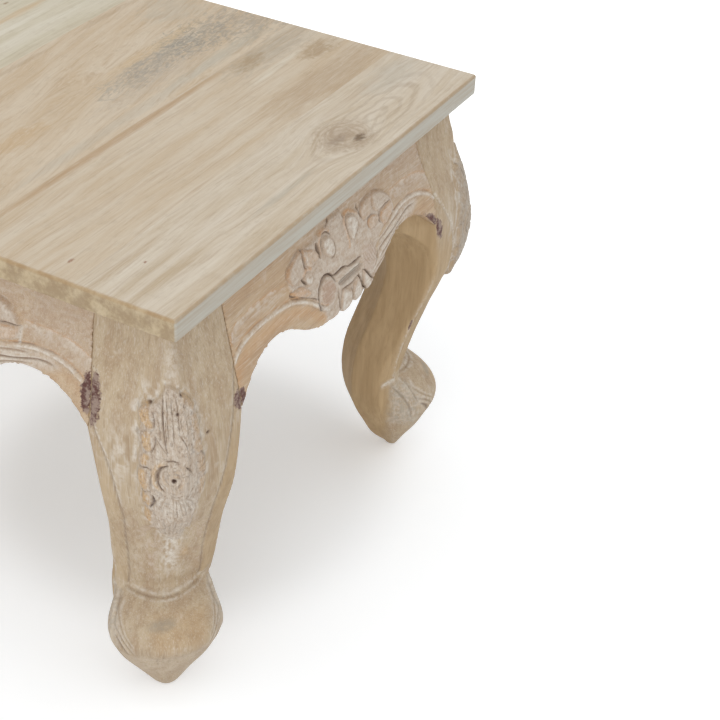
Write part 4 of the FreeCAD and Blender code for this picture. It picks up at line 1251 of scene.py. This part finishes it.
@dataclass
class CabrioleLeg:
    """The carved cabriole legs: a cartouche on the knee and a scrolled, rounded foot."""

    net_mm: float = 1.62
    proud_mm: float = 1.0

    def hands(self) -> dict[Corner, LegHand]:
        """Return each leg's own hand: the nearest leg leans, the far one has a wider border."""
        wide = ((-56.4, 333), (-54.5, 326), (-51, 317), (-44, 299), (-38, 285), (-33, 271), (-28.5, 252),
                (-26, 225), (-25.5, 190), (-27, 160), (-29, 140), (-33, 118))
        near_knots = ((-58.5, 326.0, 8.5, 28.0, 8.0), (60.0, 312.0, 7.0, 13.0, 0.0))
        far_knots = ((-59.0, 297.0, 6.5, 14.0, -12.0),)
        far_streaks = ((-64.5, 181.0, 1.5, 7.0, 12.0), (-69.0, 153.0, 1.2, 11.0, 13.0))
        return {
            Corner.FRONT_LEFT: LegHand(lean_mm=4.0, knots=near_knots),
            # each leg's band tones differ partly as painted shade on its shaded side
            Corner.FRONT_RIGHT: LegHand(left=wide, bands=(0.85, 0.6), shift_mm=4.0, drop_mm=10.0, rubbed=0.3,
                                        knots=far_knots, side_knots=far_streaks),
            Corner.BACK_RIGHT: LegHand(),
            Corner.BACK_LEFT: LegHand(left=wide, bands=(0.6, 0.35)),
        }

    def cartouche(self, relief: Relief) -> None:
        """Carve the cartouche: a ragged field with a lobed border, flutes and a tongue."""
        outline = ((-5, 357), (-11, 349), (-17, 341), (-25, 336.5), (-28, 330), (-26.5, 321), (-29, 313),
                   (-28, 302), (-30, 292), (-29.6, 282), (-30, 270), (-27, 260), (-27.5, 248), (-25, 239),
                   (-26, 230), (-20, 220), (-14, 208), (-8, 196), (3, 185), (7, 190), (9.5, 205), (13, 222),
                   (17, 238), (22, 254), (25, 268), (26, 282), (24, 294), (22.5, 306), (21, 318),
                   (18.5, 332), (14.5, 342), (6, 350.5))
        relief.field(outline, self.proud_mm + 0.8, 3.0, 0.45)
        deep = relief.inside(outline)
        outside = soft(-deep, 0.0, 14.0) * soft(relief.up, 150.0, 200.0)
        relief.height -= 1.1 * (1.0 - soft(deep, -1.0, 1.5)) * (1.0 - outside)
        knee = within(relief.up, 195.0, 225.0, 345.0, 372.0)
        relief.height -= 3.5 * np.exp(-(relief.across / 38.0) ** 4) * knee
        # painted shade in the cut round the field
        relief.mark("cut", 0.4 * hump(deep + 0.8, 0.8), 0.5, 0.8)
        relief.mark("lime", 0.8 * hump(deep + 2.0, 2.6), 0.3, 0.7)
        chips = soft(relief.grit, 0.66, 0.86) * soft(deep, 0.5, 2.5)
        relief.height -= 0.7 * chips
        # painted shade in the chips
        relief.mark("cut", 0.22 * chips)
        self.lobes(relief)
        self.rosette(relief)
        relief.slots(
            (((-9, 350), (-10.5, 336), (-11, 318), (-9, 302)), 0.8, 1.5, 0.9),
            (((-5.5, 350), (-6, 332), (-6.5, 314)), 0.5, 0.9, 0.6),
            (((-2.5, 347), (-2, 330), (-2.5, 312)), 0.5, 1.0, 0.55),
            (((1, 349), (2.5, 336), (2, 318)), 0.6, 1.0, 0.6),
            (((-17, 316), (-13, 308), (-9, 303)), 0.5, 0.8, 0.6),
            (((1, 320), (6, 312), (10, 303)), 0.6, 1.0, 0.7),
            (((7, 344), (9, 330), (11, 316)), 0.5, 0.7, 0.45),
            (((-15, 334), (-13.5, 322), (-14, 312)), 0.5, 0.8, 0.55),
            (((-8, 330), (-8.5, 322), (-9, 312)), 0.6, 0.9, 0.7),
            (((5, 338), (4, 326), (6, 316)), 0.4, 0.6, 0.5))
        for step in range(9):
            spread = -20.0 + 4.6 * step
            flute = ((0.5 * spread - 3, 263), (0.85 * spread - 1.5, 252), (spread, 240))
            relief.groove(flute, 0.7, 0.8, 0.9, 0.10)
        for step in range(6):
            spread = -10.0 + 4.0 * step
            flute = ((1.35 * spread, 236), (spread, 215), (0.6 * spread + 0.5, 197))
            relief.groove(flute, 0.7, 0.7, 0.5, 0.30)
        relief.groove(((-10, 201), (-4, 193), (2.5, 186.5), (6.5, 190)), 1.0, 1.3, 0.7, 0.65)
        for place in ((6, 348.5), (-19, 340.5), (2, 334.5), (30, 304), (25, 259), (14, 233)):
            dot = relief.patch(*place, 1.3, 1.3)
            relief.height -= 1.4 * dot
            relief.clear("lime", dot)
            # painted shade in the drilled dot
            relief.mark("cut", dot)

    def lobes(self, relief: Relief) -> None:
        """Carve the rubbed ropes of lobes down both borders of the cartouche, nicked between the lobes."""
        left = ((-21.5, 338), (-22.5, 329), (-21, 320), (-23.5, 311), (-22, 301), (-25, 292), (-26, 280),
                (-26.3, 268), (-24, 252), (-24, 240), (-23.5, 229))
        right = ((10, 346), (16, 336), (18, 322), (18.5, 304), (21, 291), (22, 268), (21, 257))
        for line, share, nicks in ((left, 0.80, (320.0, 300.0, 284.0, 260.0, 245.0)),
                                   (right, 0.40, (331.0, 311.0, 294.0, 274.0))):
            far, _, _ = relief.near(line)
            slanted = relief.up + 0.3 * (relief.across - line[3][0])
            gap = np.min([np.abs(slanted - z) for z in nicks], axis=0)
            wide = 3.7 * (0.35 + 0.65 * soft(gap, 0.0, 5.0)) * (0.6 + 0.8 * relief.chip)
            rope = soft(wide - far, -0.8, 1.6)
            relief.height += 1.1 * rope
            relief.clear("lime", 0.8 * rope)
            worn = soft(gap, 0.8, 3.5) * soft(relief.grit + relief.chip, 0.25, 0.95)
            relief.mark("raw", share * soft(wide - far, 0.0, 2.0) * worn)
            knee = within(relief.up, 226.0, 232.0, 340.0, 348.0)
            relief.mark("lime", 0.8 * hump(far - wide - 0.4, 0.8) * knee, 0.15, 0.55)
            knee = within(relief.up, 226.0, 232.0, 338.0, 346.0) * soft(12.0 - far, 0.0, 2.0)
            # painted shade in the cut outside each rope
            relief.mark("cut", 0.35 * hump(far - wide - 0.8, 0.6) * knee, 0.4, 0.7)
        for line, width, dark in ((((-20.5, 259), (-19.6, 252), (-22, 243.5)), 1.3, 1.0),
                                  (((19, 297), (24, 292), (24.5, 285), (20.5, 281)), 0.9, 0.8),
                                  (((-17.6, 335), (-16.6, 328), (-17.5, 321)), 0.6, 0.7),
                                  (((-16.5, 316), (-17.4, 308), (-20.5, 299)), 0.6, 0.7),
                                  (((-28, 283.5), (-24, 284.5), (-20.5, 283)), 0.7, 0.9),
                                  (((-29, 258), (-25, 260), (-21, 261)), 0.5, 0.7),
                                  (((-20, 281), (-21.5, 272), (-21, 263)), 0.5, 0.6)):
            relief.slot(line, width, 1.5, dark)

    def rosette(self, relief: Relief) -> None:
        """Carve the rosette: a disc with a drilled eye inside a broken ring."""
        relief.dome((-4.6, 281), (14.5, 14.5), 1.0, 0.3)
        relief.ridge(((-14, 265.5), (-18.6, 272), (-19, 281), (-16, 290), (-10, 295.5)), 1.5, 1.2, 0.0, 1.0)
        relief.slots(
            (((-8.5, 294.6), (-14, 289.5), (-16.6, 281), (-16.4, 273), (-12.0, 265.5)), 1.3, 1.7, 0.9),
            (((-11, 296.8), (-6, 298.4), (1, 296)), 0.8, 1.4, 0.9),
            (((5.5, 291.5), (9.5, 288.3), (12.4, 282.5)), 0.8, 1.6, 0.9),
            (((-9, 266), (-3, 264.6), (4, 266.4)), 0.5, 0.8, 0.5))
        turn = np.linspace(0.0, 2.0 * math.pi, 13)[:-1]
        ring = tuple((-4.6 + 6.4 * math.cos(a), 281 + 6.4 * math.sin(a)) for a in turn)
        far, _, _ = relief.near(ring, True)
        relief.height -= 0.8 * hump(far, 0.9)
        # painted shade in the ring's groove
        relief.mark("cut", 0.35 * hump(far, 0.8), 0.2, 0.6)
        relief.mark("raw", 0.5 * hump(far - 1.6, 1.0), 0.3, 0.7)
        eye = relief.patch(-4.6, 281, 2.47, 1.9)
        relief.height -= 2.6 * eye
        relief.clear("lime", eye)
        # painted shade in the drilled eye
        relief.mark("cut", soft(eye, 0.15, 0.6))

    def washes(self, relief: Relief) -> None:
        """Leave filler where it was not wiped off: round the knee and down the shank."""
        wash = hump(relief.across + 1, 8.0) * within(relief.up, 128.0, 150.0, 185.0, 205.0)
        relief.mark("lime", wash, 0.1, 0.55)
        broad = hump(relief.across + 4, 26.0) * within(relief.up, 118.0, 140.0, 190.0, 235.0)
        relief.mark("lime", 0.45 * broad, 0.3, 0.8)
        relief.mark("lime", 0.55 * within(relief.up, 353.0, 360.0, 380.0, 392.0) * hump(relief.across, 6.0))
        for x, z, wide, high in ((-23, 225, 5, 9), (19, 312, 8, 36), (-20, 347, 9, 8), (-42, 285, 7, 26)):
            relief.mark("lime", 0.75 * relief.patch(x, z, wide, high), 0.3, 0.7)
        relief.mark("raw", 0.6 * relief.patch(12, 163, 4.0, 8.0), 0.0, 0.5)
        for x, z, wide, high in ((-21, 212, 7, 20), (-16, 160, 5, 30), (22, 175, 6, 40)):
            relief.mark("rose", 0.40 * relief.patch(x, z, wide, high), 0.2, 0.7)

    def foot(self, relief: Relief) -> None:
        """Carve the crease over the toe and the scrolls at its sides."""
        edge = Relief(relief.across, relief.up)
        crease = ((-50, 116), (-30, 114.5), (-4, 112.5), (22, 114.5), (44, 117))
        edge.groove(crease, 1.0, 0.9, 0.7, 0.35, False)
        middle = soft(30.0 - np.abs(relief.across), -8.0, 4.0)
        relief.height += edge.height * (0.3 + 0.7 * middle)
        # painted shade along the crease, with filler on its banks
        for name in ("lime", "cut"):
            relief.mark(name, edge.marks[name] * (0.25 + 0.75 * middle) * soft(relief.grit, 0.0, 0.6))
        # the slot of the left scroll gets darker painted shade than the right one
        for side, dark in ((-1.0, 0.7), (1.0, 0.4)):
            relief.groove(((side * 43, 113), (side * 48, 100), (side * 46, 86), (side * 38, 73),
                           (side * 33, 64)), 1.1, 1.4, 0.6, 0.35)
            relief.groove(((side * 36, 112), (side * 42, 99), (side * 41, 86), (side * 34, 75)),
                          1.0, 0.8, 0.6, 0.22)
            relief.slot(((side * 47, 80), (side * 42.5, 71), (side * 37, 60)), 1.6, 1.6, dark)
            rim = hump(side * relief.across - 46, 9.0) * within(relief.up, 60.0, 75.0, 108.0, 118.0)
            relief.mark("lime", 0.45 * rim, 0.15, 0.6)
        for x, low, high, dark in ((-14, 46, 73, 0.5), (-9, 50, 77, 0.35), (-3, 44, 68, 0.25),
                                   (2, 50, 76, 0.3), (9, 58, 74, 0.25)):
            relief.slot(((x, high), (0.95 * x - 0.5, 0.5 * (low + high)), (0.85 * x, low)), 0.6, 0.4, dark)
        relief.mark("lime", 0.18 * soft(-relief.up, -95.0, -45.0))
        # a slanted grey patch just below the crease
        patch = np.hypot((relief.across + 8 - 0.8 * (relief.up - 97)) / 14.0, (relief.up - 97) / 5.0)
        relief.mark("smoke", 0.7 * soft(1.25 - patch, 0.0, 0.9) * soft(relief.grit, -0.3, 0.5))
        toe = within(relief.up, 62.0, 85.0, 98.0, 108.0) * soft(-np.abs(relief.across - 8), -34, -18)
        relief.mark("raw", 0.28 * toe)

    def side_scroll(self, relief: Relief) -> None:
        """Carve the scroll on the side of the foot, seen square to the leg's flat side."""
        relief.groove(((-88, 103), (-82, 107), (-72, 111)), 1.8, 1.4, 0.3, 0.0)
        far, _, _ = relief.near(((-88, 103), (-80, 108), (-70, 114)))
        relief.mark("lime", 1.1 * hump(far, 2.4))
        relief.groove(((-74, 118), (-62, 105), (-54, 92), (-46, 78)), 1.3, 2.0, 0.7, 0.5)
        relief.groove(((-80, 103), (-68, 92), (-59, 78), (-56, 62)), 1.5, 1.6, 0.7, 0.35)
        relief.groove(((-66, 116), (-54, 103), (-46, 90), (-41, 76)), 1.1, 1.3, 0.7, 0.35)
        relief.ridge(((-71, 108), (-60, 95), (-52, 80), (-49, 64)), 1.8, 0.9, 0.6)
        # painted shade behind the side scroll: lime and grey laid together
        shade = soft(relief.across, -86.0, -72.0) * within(relief.up, 46.0, 60.0, 102.0, 114.0)
        relief.mark("lime", 0.45 * shade)
        relief.mark("smoke", 0.45 * shade, 0.3, 0.7)

    def build(self, material: bpy.types.Material) -> None:
        """Carve one leg, then finish a copy of it for each corner.

        Args:
            material: The leg's finish.
        """
        mesh = fine_copy("leg_front_left", self.net_mm * MM, "leg_carved")
        mesh.transform(Corner.FRONT_LEFT.frame().inverted())
        places, normals = read_points(mesh)
        split_faces(mesh, (np.abs(places[:, 1]) < 0.033) & (places[:, 2] > 0.183) & (places[:, 2] < 0.361)
                    & (normals[:, 0] > 0.3))
        places, normals = read_points(mesh)
        out, across, up = places[:, 0] / MM, places[:, 1] / MM, places[:, 2] / MM
        front = soft(normals[:, 0], 0.10, 0.45)
        flank = soft(np.abs(normals[:, 1]), 0.45, 0.8) * soft(-up, -118.0, -110.0) * soft(out, -92.0, -84.0)
        flank = flank * (1.0 - front)
        left_side = soft(-normals[:, 1], 0.4, 0.8) * (1.0 - front)
        inner = (1.0 - soft(normals[:, 0], -0.05, 0.30)) * (1.0 - flank * soft(out, -82.0, -74.0))
        arris = self.arris(out, up, normals) * (1.0 - front)
        inner = inner * (1.0 - arris)
        cheek = Relief(out, up)
        self.side_scroll(cheek)
        for corner, hand in self.hands().items():
            dropped = hand.drop_mm * within(up, 150.0, 200.0, 250.0, 352.0)
            face = Relief(across - hand.shift_mm * soft(up, 150.0, 200.0), up + dropped, (1.0, 0.35))
            self.washes(face)
            self.cartouche(face)
            self.foot(face)
            own = Relief(across, up)
            band = self.border(own, hand) * soft(up, 116.0, 122.0)
            shift = np.clip(face.height + own.height, -6.5, 3.0) * front
            shift = shift + np.clip(cheek.height, -3.0, 2.4) * flank
            moved = places + normals * (shift * MM)[:, None]
            moved[:, 1] -= hand.lean_mm * MM * soft(-up, -135.0, -95.0)
            copy = mesh.copy()
            one = np.minimum((moved[:, 0] + moved[:, 1]) / math.sqrt(2.0), OVERHANG)
            two = np.minimum((moved[:, 0] - moved[:, 1]) / math.sqrt(2.0), OVERHANG)
            moved[:, 0], moved[:, 1] = (one + two) / math.sqrt(2.0), (one - two) / math.sqrt(2.0)
            copy.vertices.foreach_set("co", moved.ravel())
            for name in Relief.MARKS:
                value = np.maximum(face.marks[name], own.marks[name]) * front
                if name in ("lime", "raw"):
                    value = value * (1.0 - band)
                # on the far leg: less raw wood and less painted shade in the cuts over the knee
                if name in ("raw", "cut") and hand.rubbed < 1.0:
                    value = value * (1.0 - (1.0 - hand.rubbed) * soft(up, 200.0, 225.0))
                if name == "lime":
                    value = np.maximum(value, 0.8 * arris * soft(cheek.grit, 0.0, 0.5))
                # the far leg gets a grey wash over its carving
                if name == "smoke":
                    value = np.maximum(value, 0.6 * (1.0 - hand.rubbed) * face.marks["carved"] * front)
                write_mark(copy, name, value + cheek.marks[name] * flank)
            knots = knot_marks(hand.knots, across, up) * front
            knots = np.maximum(knots, knot_marks(hand.side_knots, out, up) * left_side)
            write_mark(copy, "knot", knots)
            write_mark(copy, "inner", np.maximum(inner, band))
            copy.update()
            name = "leg_%s" % corner.label
            place_piece(copy, "carved_" + name, corner.frame(), material, (name,))

    def arris(self, out: np.ndarray, up: np.ndarray, normals: np.ndarray) -> np.ndarray:
        """Find the rubbed and limed strip along the front arris of both flat sides.

        Args:
            out: Places along the diagonal, in millimetres.
            up: Heights, in millimetres.
            normals: The normals there.

        Returns:
            One on the strip, nought elsewhere.
        """
        flat = np.abs(normals[:, 1]) > 0.8
        heights = np.arange(104.0, 252.0, 4.0)
        edge = np.array([out[flat & (np.abs(up - z) < 3.0)].max() for z in heights])
        past = np.interp(up, heights, edge) - out
        return hump(past - 0.5, 3.0) * within(up, 104.0, 112.0, 222.0, 246.0)

    def border(self, relief: Relief, hand: LegHand) -> np.ndarray:
        """Cut the two border lines of one leg.

        Args:
            relief: The leg's own relief.
            hand: The leg's hand.

        Returns:
            The tone of the brown bands outside the lines, partly painted shade; nought between them.
        """
        band = np.zeros_like(relief.across)
        for line, outward, tone in ((hand.left, -1.0, hand.bands[0]), (hand.right, 1.0, hand.bands[1])):
            relief.groove(line, 1.0, 1.0, 0.0, 0.40, False)
            points = np.array(line)[::-1]
            border = np.interp(relief.up, points[:, 1], points[:, 0], outward * 60.0, outward * 62.0)
            past = outward * (relief.across - border)
            # the bands grow darker low on the leg: partly painted shade
            lower = 0.2 + 0.8 * soft(-relief.up, -296.0, -256.0)
            band = np.maximum(band, tone * lower * soft(past, 0.6, 2.0))
            white = hump(past + 1.4, 1.1) * within(relief.up, 215.0, 245.0, 334.0, 342.0)
            relief.mark("lime", (0.7 - 0.2 * outward) * white, 0.2, 0.6)
        return band


class Fittings:
    """The corner blocks and the screws under the top."""

    FACETS = 24
    HEAD_MM = 2.6

    def screw_tree(self) -> bpy.types.NodeTree:
        """Build the tree that sets one round-headed, cross-recessed wood screw on every point.

        Returns:
            A tree with inputs for the screw's sizes and its metal.
        """
        weave = Weave(bpy.data.node_groups.new("wood_screws", "GeometryNodeTree"))
        face = weave.tree.interface
        face.new_socket("Geometry", in_out="INPUT", socket_type="NodeSocketGeometry")
        for name, value in (("Shank radius", 2.5), ("Head radius", 4.75), ("Head height", self.HEAD_MM),
                            ("Length", 40.0), ("Point length", 4.0), ("Tip radius", 0.3),
                            ("Recess width", 1.1), ("Recess depth", 1.5)):
            face.new_socket(name, in_out="INPUT", socket_type="NodeSocketFloat").default_value = value * MM
        face.new_socket("Metal", in_out="INPUT", socket_type="NodeSocketMaterial")
        face.new_socket("Geometry", in_out="OUTPUT", socket_type="NodeSocketGeometry")
        start = weave.add("NodeGroupInput").outputs
        shaft, head = start["Shank radius"], start["Head radius"]
        half_head = weave.add("Math", start["Head height"], 0.5, operation="MULTIPLY")
        body = weave.add("Math", start["Length"], start["Point length"], operation="SUBTRACT")
        shank = weave.add("GeometryNodeMeshCylinder", self.FACETS, named={"Radius": shaft, "Depth": body})
        collar = weave.add("GeometryNodeMeshCylinder", self.FACETS, named={
            "Radius": head, "Depth": half_head})
        crown = weave.add("GeometryNodeMeshCone", self.FACETS, named={
            "Radius Bottom": head, "Radius Top": shaft, "Depth": half_head})
        tip = weave.add("GeometryNodeMeshCone", self.FACETS, named={
            "Radius Bottom": shaft, "Radius Top": start["Tip radius"], "Depth": start["Point length"]})
        solid = weave.add("GeometryNodeMeshBoolean", operation="UNION", solver="EXACT")
        for part, height, share, turn in ((shank, body, 0.5, 0.0), (collar, half_head, -0.5, 0.0),
                                          (crown, half_head, -1.0, math.pi), (tip, body, 1.0, 0.0)):
            weave.tree.links.new(self.moved(weave, part, height, share, turn), solid.inputs["Mesh 2"])
        long = weave.add("Math", head, 1.1, operation="MULTIPLY")
        deep = weave.add("Math", start["Recess depth"], 2.0, operation="MULTIPLY")
        cross = weave.add("GeometryNodeMeshBoolean", solid, operation="DIFFERENCE", solver="EXACT")
        for first, second in ((long, start["Recess width"]), (start["Recess width"], long)):
            bar = weave.add("GeometryNodeMeshCube", weave.add("CombineXYZ", first, second, deep))
            weave.tree.links.new(self.moved(weave, bar, start["Head height"], -1.0), cross.inputs["Mesh 2"])
        axis = weave.add("GeometryNodeInputNamedAttribute", "axis", data_type="FLOAT_VECTOR")
        facing = weave.add("FunctionNodeAlignRotationToVector", named={"Vector": axis}, axis="Z")
        spots = weave.add("GeometryNodeInstanceOnPoints", named={
            "Points": start["Geometry"], "Instance": cross, "Rotation": facing})
        dressed = weave.add("GeometryNodeSetMaterial", weave.add("GeometryNodeRealizeInstances", spots),
                            named={"Material": start["Metal"]})
        weave.add("NodeGroupOutput", dressed)
        return weave.tree

    def moved(self, weave: Weave, part: bpy.types.Node, height: object, share: float,
              turn: float = 0.0) -> Socket:
        """Move a part of the screw up its axis and turn it about X.

        Args:
            weave: The screw's tree.
            part: The part.
            height: A height.
            share: How many of these heights it goes up.
            turn: Its turn.

        Returns:
            The moved part.
        """
        place = weave.add("CombineXYZ", 0.0, 0.0, weave.add("Math", height, share, operation="MULTIPLY"))
        return weave.add("GeometryNodeTransform", named={
            "Geometry": part, "Translation": place, "Rotation": (turn, 0.0, 0.0)}).outputs[0]

    def screws(self, kind: str, tree: bpy.types.NodeTree, steel: bpy.types.Material) -> None:
        """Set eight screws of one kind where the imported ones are.

        Args:
            kind: "leg" or "top".
            tree: The screw tree.
            steel: The screws' finish.
        """
        corners = [corner for corner in Corner for _ in (1, 2)]
        names = ["%s_screw_%s_%d" % (kind, corner.label, k % 2 + 1) for k, corner in enumerate(corners)]
        starts, axes, length = [], [], 0.0
        for name, corner in zip(names, corners):
            outward = corner.frame().to_3x3() @ Vector((1.0, 0.0, 0.0))
            axis = outward if kind == "leg" else Vector((0.0, 0.0, 1.0))
            places, _ = read_points(bpy.data.objects[name].data)
            along = places @ np.array(axis)
            middle = Vector((places.max(axis=0) + places.min(axis=0)) / 2.0)
            base = along.min() + self.HEAD_MM * MM
            starts.append(middle + axis * (base - middle.dot(axis)))
            axes.append(axis)
            length = float(along.max() - base)
        mesh = bpy.data.meshes.new(kind + "_screw_places")
        mesh.from_pydata(starts, [], [])
        directions = mesh.attributes.new("axis", "FLOAT_VECTOR", "POINT")
        directions.data.foreach_set("vector", np.array(axes).ravel())
        holder = put(kind + "_screw_places", mesh)
        rule = holder.modifiers.new("screws", "NODES")
        rule.node_group = tree
        inputs = {item.name: item.identifier for item in tree.interface.items_tree if item.in_out == "INPUT"}
        rule[inputs["Length"]] = length
        rule[inputs["Metal"]] = steel
        made = settle(holder)
        piece = place_piece(made, kind + "_screws", Matrix.Identity(4), steel, tuple(names))
        piece.data.shade_flat()

    def dress(self, wood: bpy.types.Material, steel: bpy.types.Material) -> None:
        """Give the blocks plain wood and set the zinc-plated screws.

        Args:
            wood: The blocks' finish.
            steel: The screws' finish.
        """
        for corner in Corner:
            dress_node("corner_block_" + corner.label, wood)
        tree = self.screw_tree()
        for kind in ("leg", "top"):
            self.screws(kind, tree, steel)


class Studio:
    """A pale sweep of floor, soft lamps and the camera of the photograph."""

    def floor(self) -> None:
        """Lay a wide pale floor that shows plain white to the camera away from the table; a camera-only glow
        that rises from an off-centre point paints the edge of the table's shadow.
        """
        mesh = bpy.data.meshes.new("floor")
        reach = 14.0
        corners = [(-reach, -reach, 0.0), (reach, -reach, 0.0), (reach, reach, 0.0), (-reach, reach, 0.0)]
        mesh.from_pydata(corners, [], [(0, 1, 2, 3)])
        floor = put("floor", mesh)
        material, weave = new_tree("studio_paper")
        place = weave.add("TexCoord").outputs["Object"]
        # off-centre point of the painted shadow: the glow rises with the distance from it
        aside = weave.add("VectorMath", place, (0.04, -0.06, 0.0), operation="SUBTRACT")
        far = weave.add("VectorMath", aside, operation="LENGTH")
        seen = self.seen(weave)
        shade = weave.add("Mix", seen, (0.93, 0.93, 0.93, 1.0), (1.10, 1.13, 1.155, 1.0), data_type="RGBA")
        # painted shadow edge: the floor glows more from 0.16 m to 0.25 m out, lightening it just outside the
        # table's shadow
        shadow_edge_glow = weave.add("MapRange", far, 0.16, 0.25, 0.05, 0.27, **SMOOTH)
        far_glow = weave.add("MapRange", far, 0.38, 0.92, 0.0, 0.73, **SMOOTH)
        glow = weave.add("Math", shadow_edge_glow, far_glow, operation="ADD")
        share = weave.add("Math", glow, seen, operation="MULTIPLY")
        paper = weave.add("BsdfDiffuse", shade)
        shine = weave.add("Emission", (1.0, 1.0, 1.0, 1.0), 1.3)
        weave.add("OutputMaterial", weave.add("MixShader", share, paper, shine))
        mesh.materials.append(material)

    def seen(self, weave: Weave) -> bpy.types.Node:
        """Return one for rays from the camera or off a shine, and nought for the light's own."""
        rays = weave.add("LightPath").outputs
        return weave.add("Math", rays["Is Camera Ray"], rays["Is Glossy Ray"], operation="MAXIMUM")

    def lamp(self, name: str, place: tuple[float, float, float], size: float, power: float) -> None:
        """Hang one square lamp that faces the table.

        Args:
            name: The lamp's name.
            place: Where it hangs.
            size: How wide it is.
            power: Its power in watts.
        """
        light = bpy.data.lights.new(name, "AREA")
        light.size = size
        light.energy = power
        lamp = put(name, light)
        lamp.location = place
        lamp.rotation_euler = (Vector((0.0, 0.0, 0.25)) - Vector(place)).to_track_quat("-Z", "Y").to_euler()

    def light(self) -> None:
        """Light the table softly from above, with a little more from the photograph's left."""
        world = bpy.data.worlds.new("studio")
        world.use_nodes = True
        world.node_tree.nodes.clear()
        weave = Weave(world.node_tree)
        strength = weave.add("MapRange", self.seen(weave), 0.0, 1.0, 0.80, 1.0, **SMOOTH)
        weave.add("OutputWorld", weave.add("Background", (1.0, 1.0, 1.0, 1.0), strength))
        bpy.context.scene.world = world
        self.lamp("over", (-0.6, -0.3, 2.6), 1.8, 9.0)
        self.lamp("window", (-2.4, -0.9, 0.80), 1.5, 13.0)
        self.lamp("fill", (0.6, -2.6, 1.3), 1.6, 2.0)

    def camera(self) -> None:
        """Stand the camera where the photograph was taken."""
        data = bpy.data.cameras.new("camera")
        data.lens = 82.43
        data.sensor_width = 36.0
        camera = put("camera", data)
        yaw, pitch, roll = 0.478139, 0.610984, 0.0553605
        ahead = Vector((math.cos(yaw) * math.cos(pitch), math.sin(yaw) * math.cos(pitch), -math.sin(pitch)))
        level = Vector((math.sin(yaw), -math.cos(yaw), 0.0))
        upward = level.cross(ahead)
        right = math.cos(roll) * level + math.sin(roll) * upward
        top = -math.sin(roll) * level + math.cos(roll) * upward
        turn = Matrix((right, top, -ahead)).transposed().to_4x4()
        stand = Matrix.Translation((-1.06365, -0.82364, 1.09115))
        camera.matrix_world = stand @ turn
        bpy.context.scene.camera = camera

    def set_up(self) -> None:
        """Build the floor, the lamps and the camera."""
        self.floor()
        self.light()
        self.camera()
        bpy.context.scene.view_settings.view_transform = "Standard"


def main() -> None:
    """Load the frame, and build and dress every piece."""
    logging.basicConfig(level=logging.INFO, format="%(name)s: %(message)s")
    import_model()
    PlankTop().dress()
    upright_grain = (0.0, math.radians(90.0), 0.0)
    apron_wood = LimedCarving("limed_carved_aprons", "#C0AA8E", "#B4987A", "#997C60", "#B59C78", "#98805C",
                              GrainLook(shift=(0.7, 3.1, 0.4), band_mm=9.0))
    leg_wood = LimedCarving("limed_carved_legs", "#B8A68C", "#AB957A", "#8F775B", "#BDA37E", "#9E8460",
                            GrainLook(turn=upright_grain, shift=(1.1, 0.3, 2.2), band_mm=12.0),
                            raw="#BF9B6A", crackle=0.40)
    ApronCarving().build(apron_wood.material())
    CabrioleLeg().build(leg_wood.material())
    block_wood = LimedCarving("plain_sawn_blocks", "#B49A72", "#A78A60", "#8C7048", "#B49A72", "#9C8058",
                              GrainLook(turn=(0.0, 0.0, math.radians(45.0)), band_mm=12.0))
    Fittings().dress(block_wood.material(), ZincPlatedSteel().material())
    Studio().set_up()


if __name__ == "__main__":
    main()
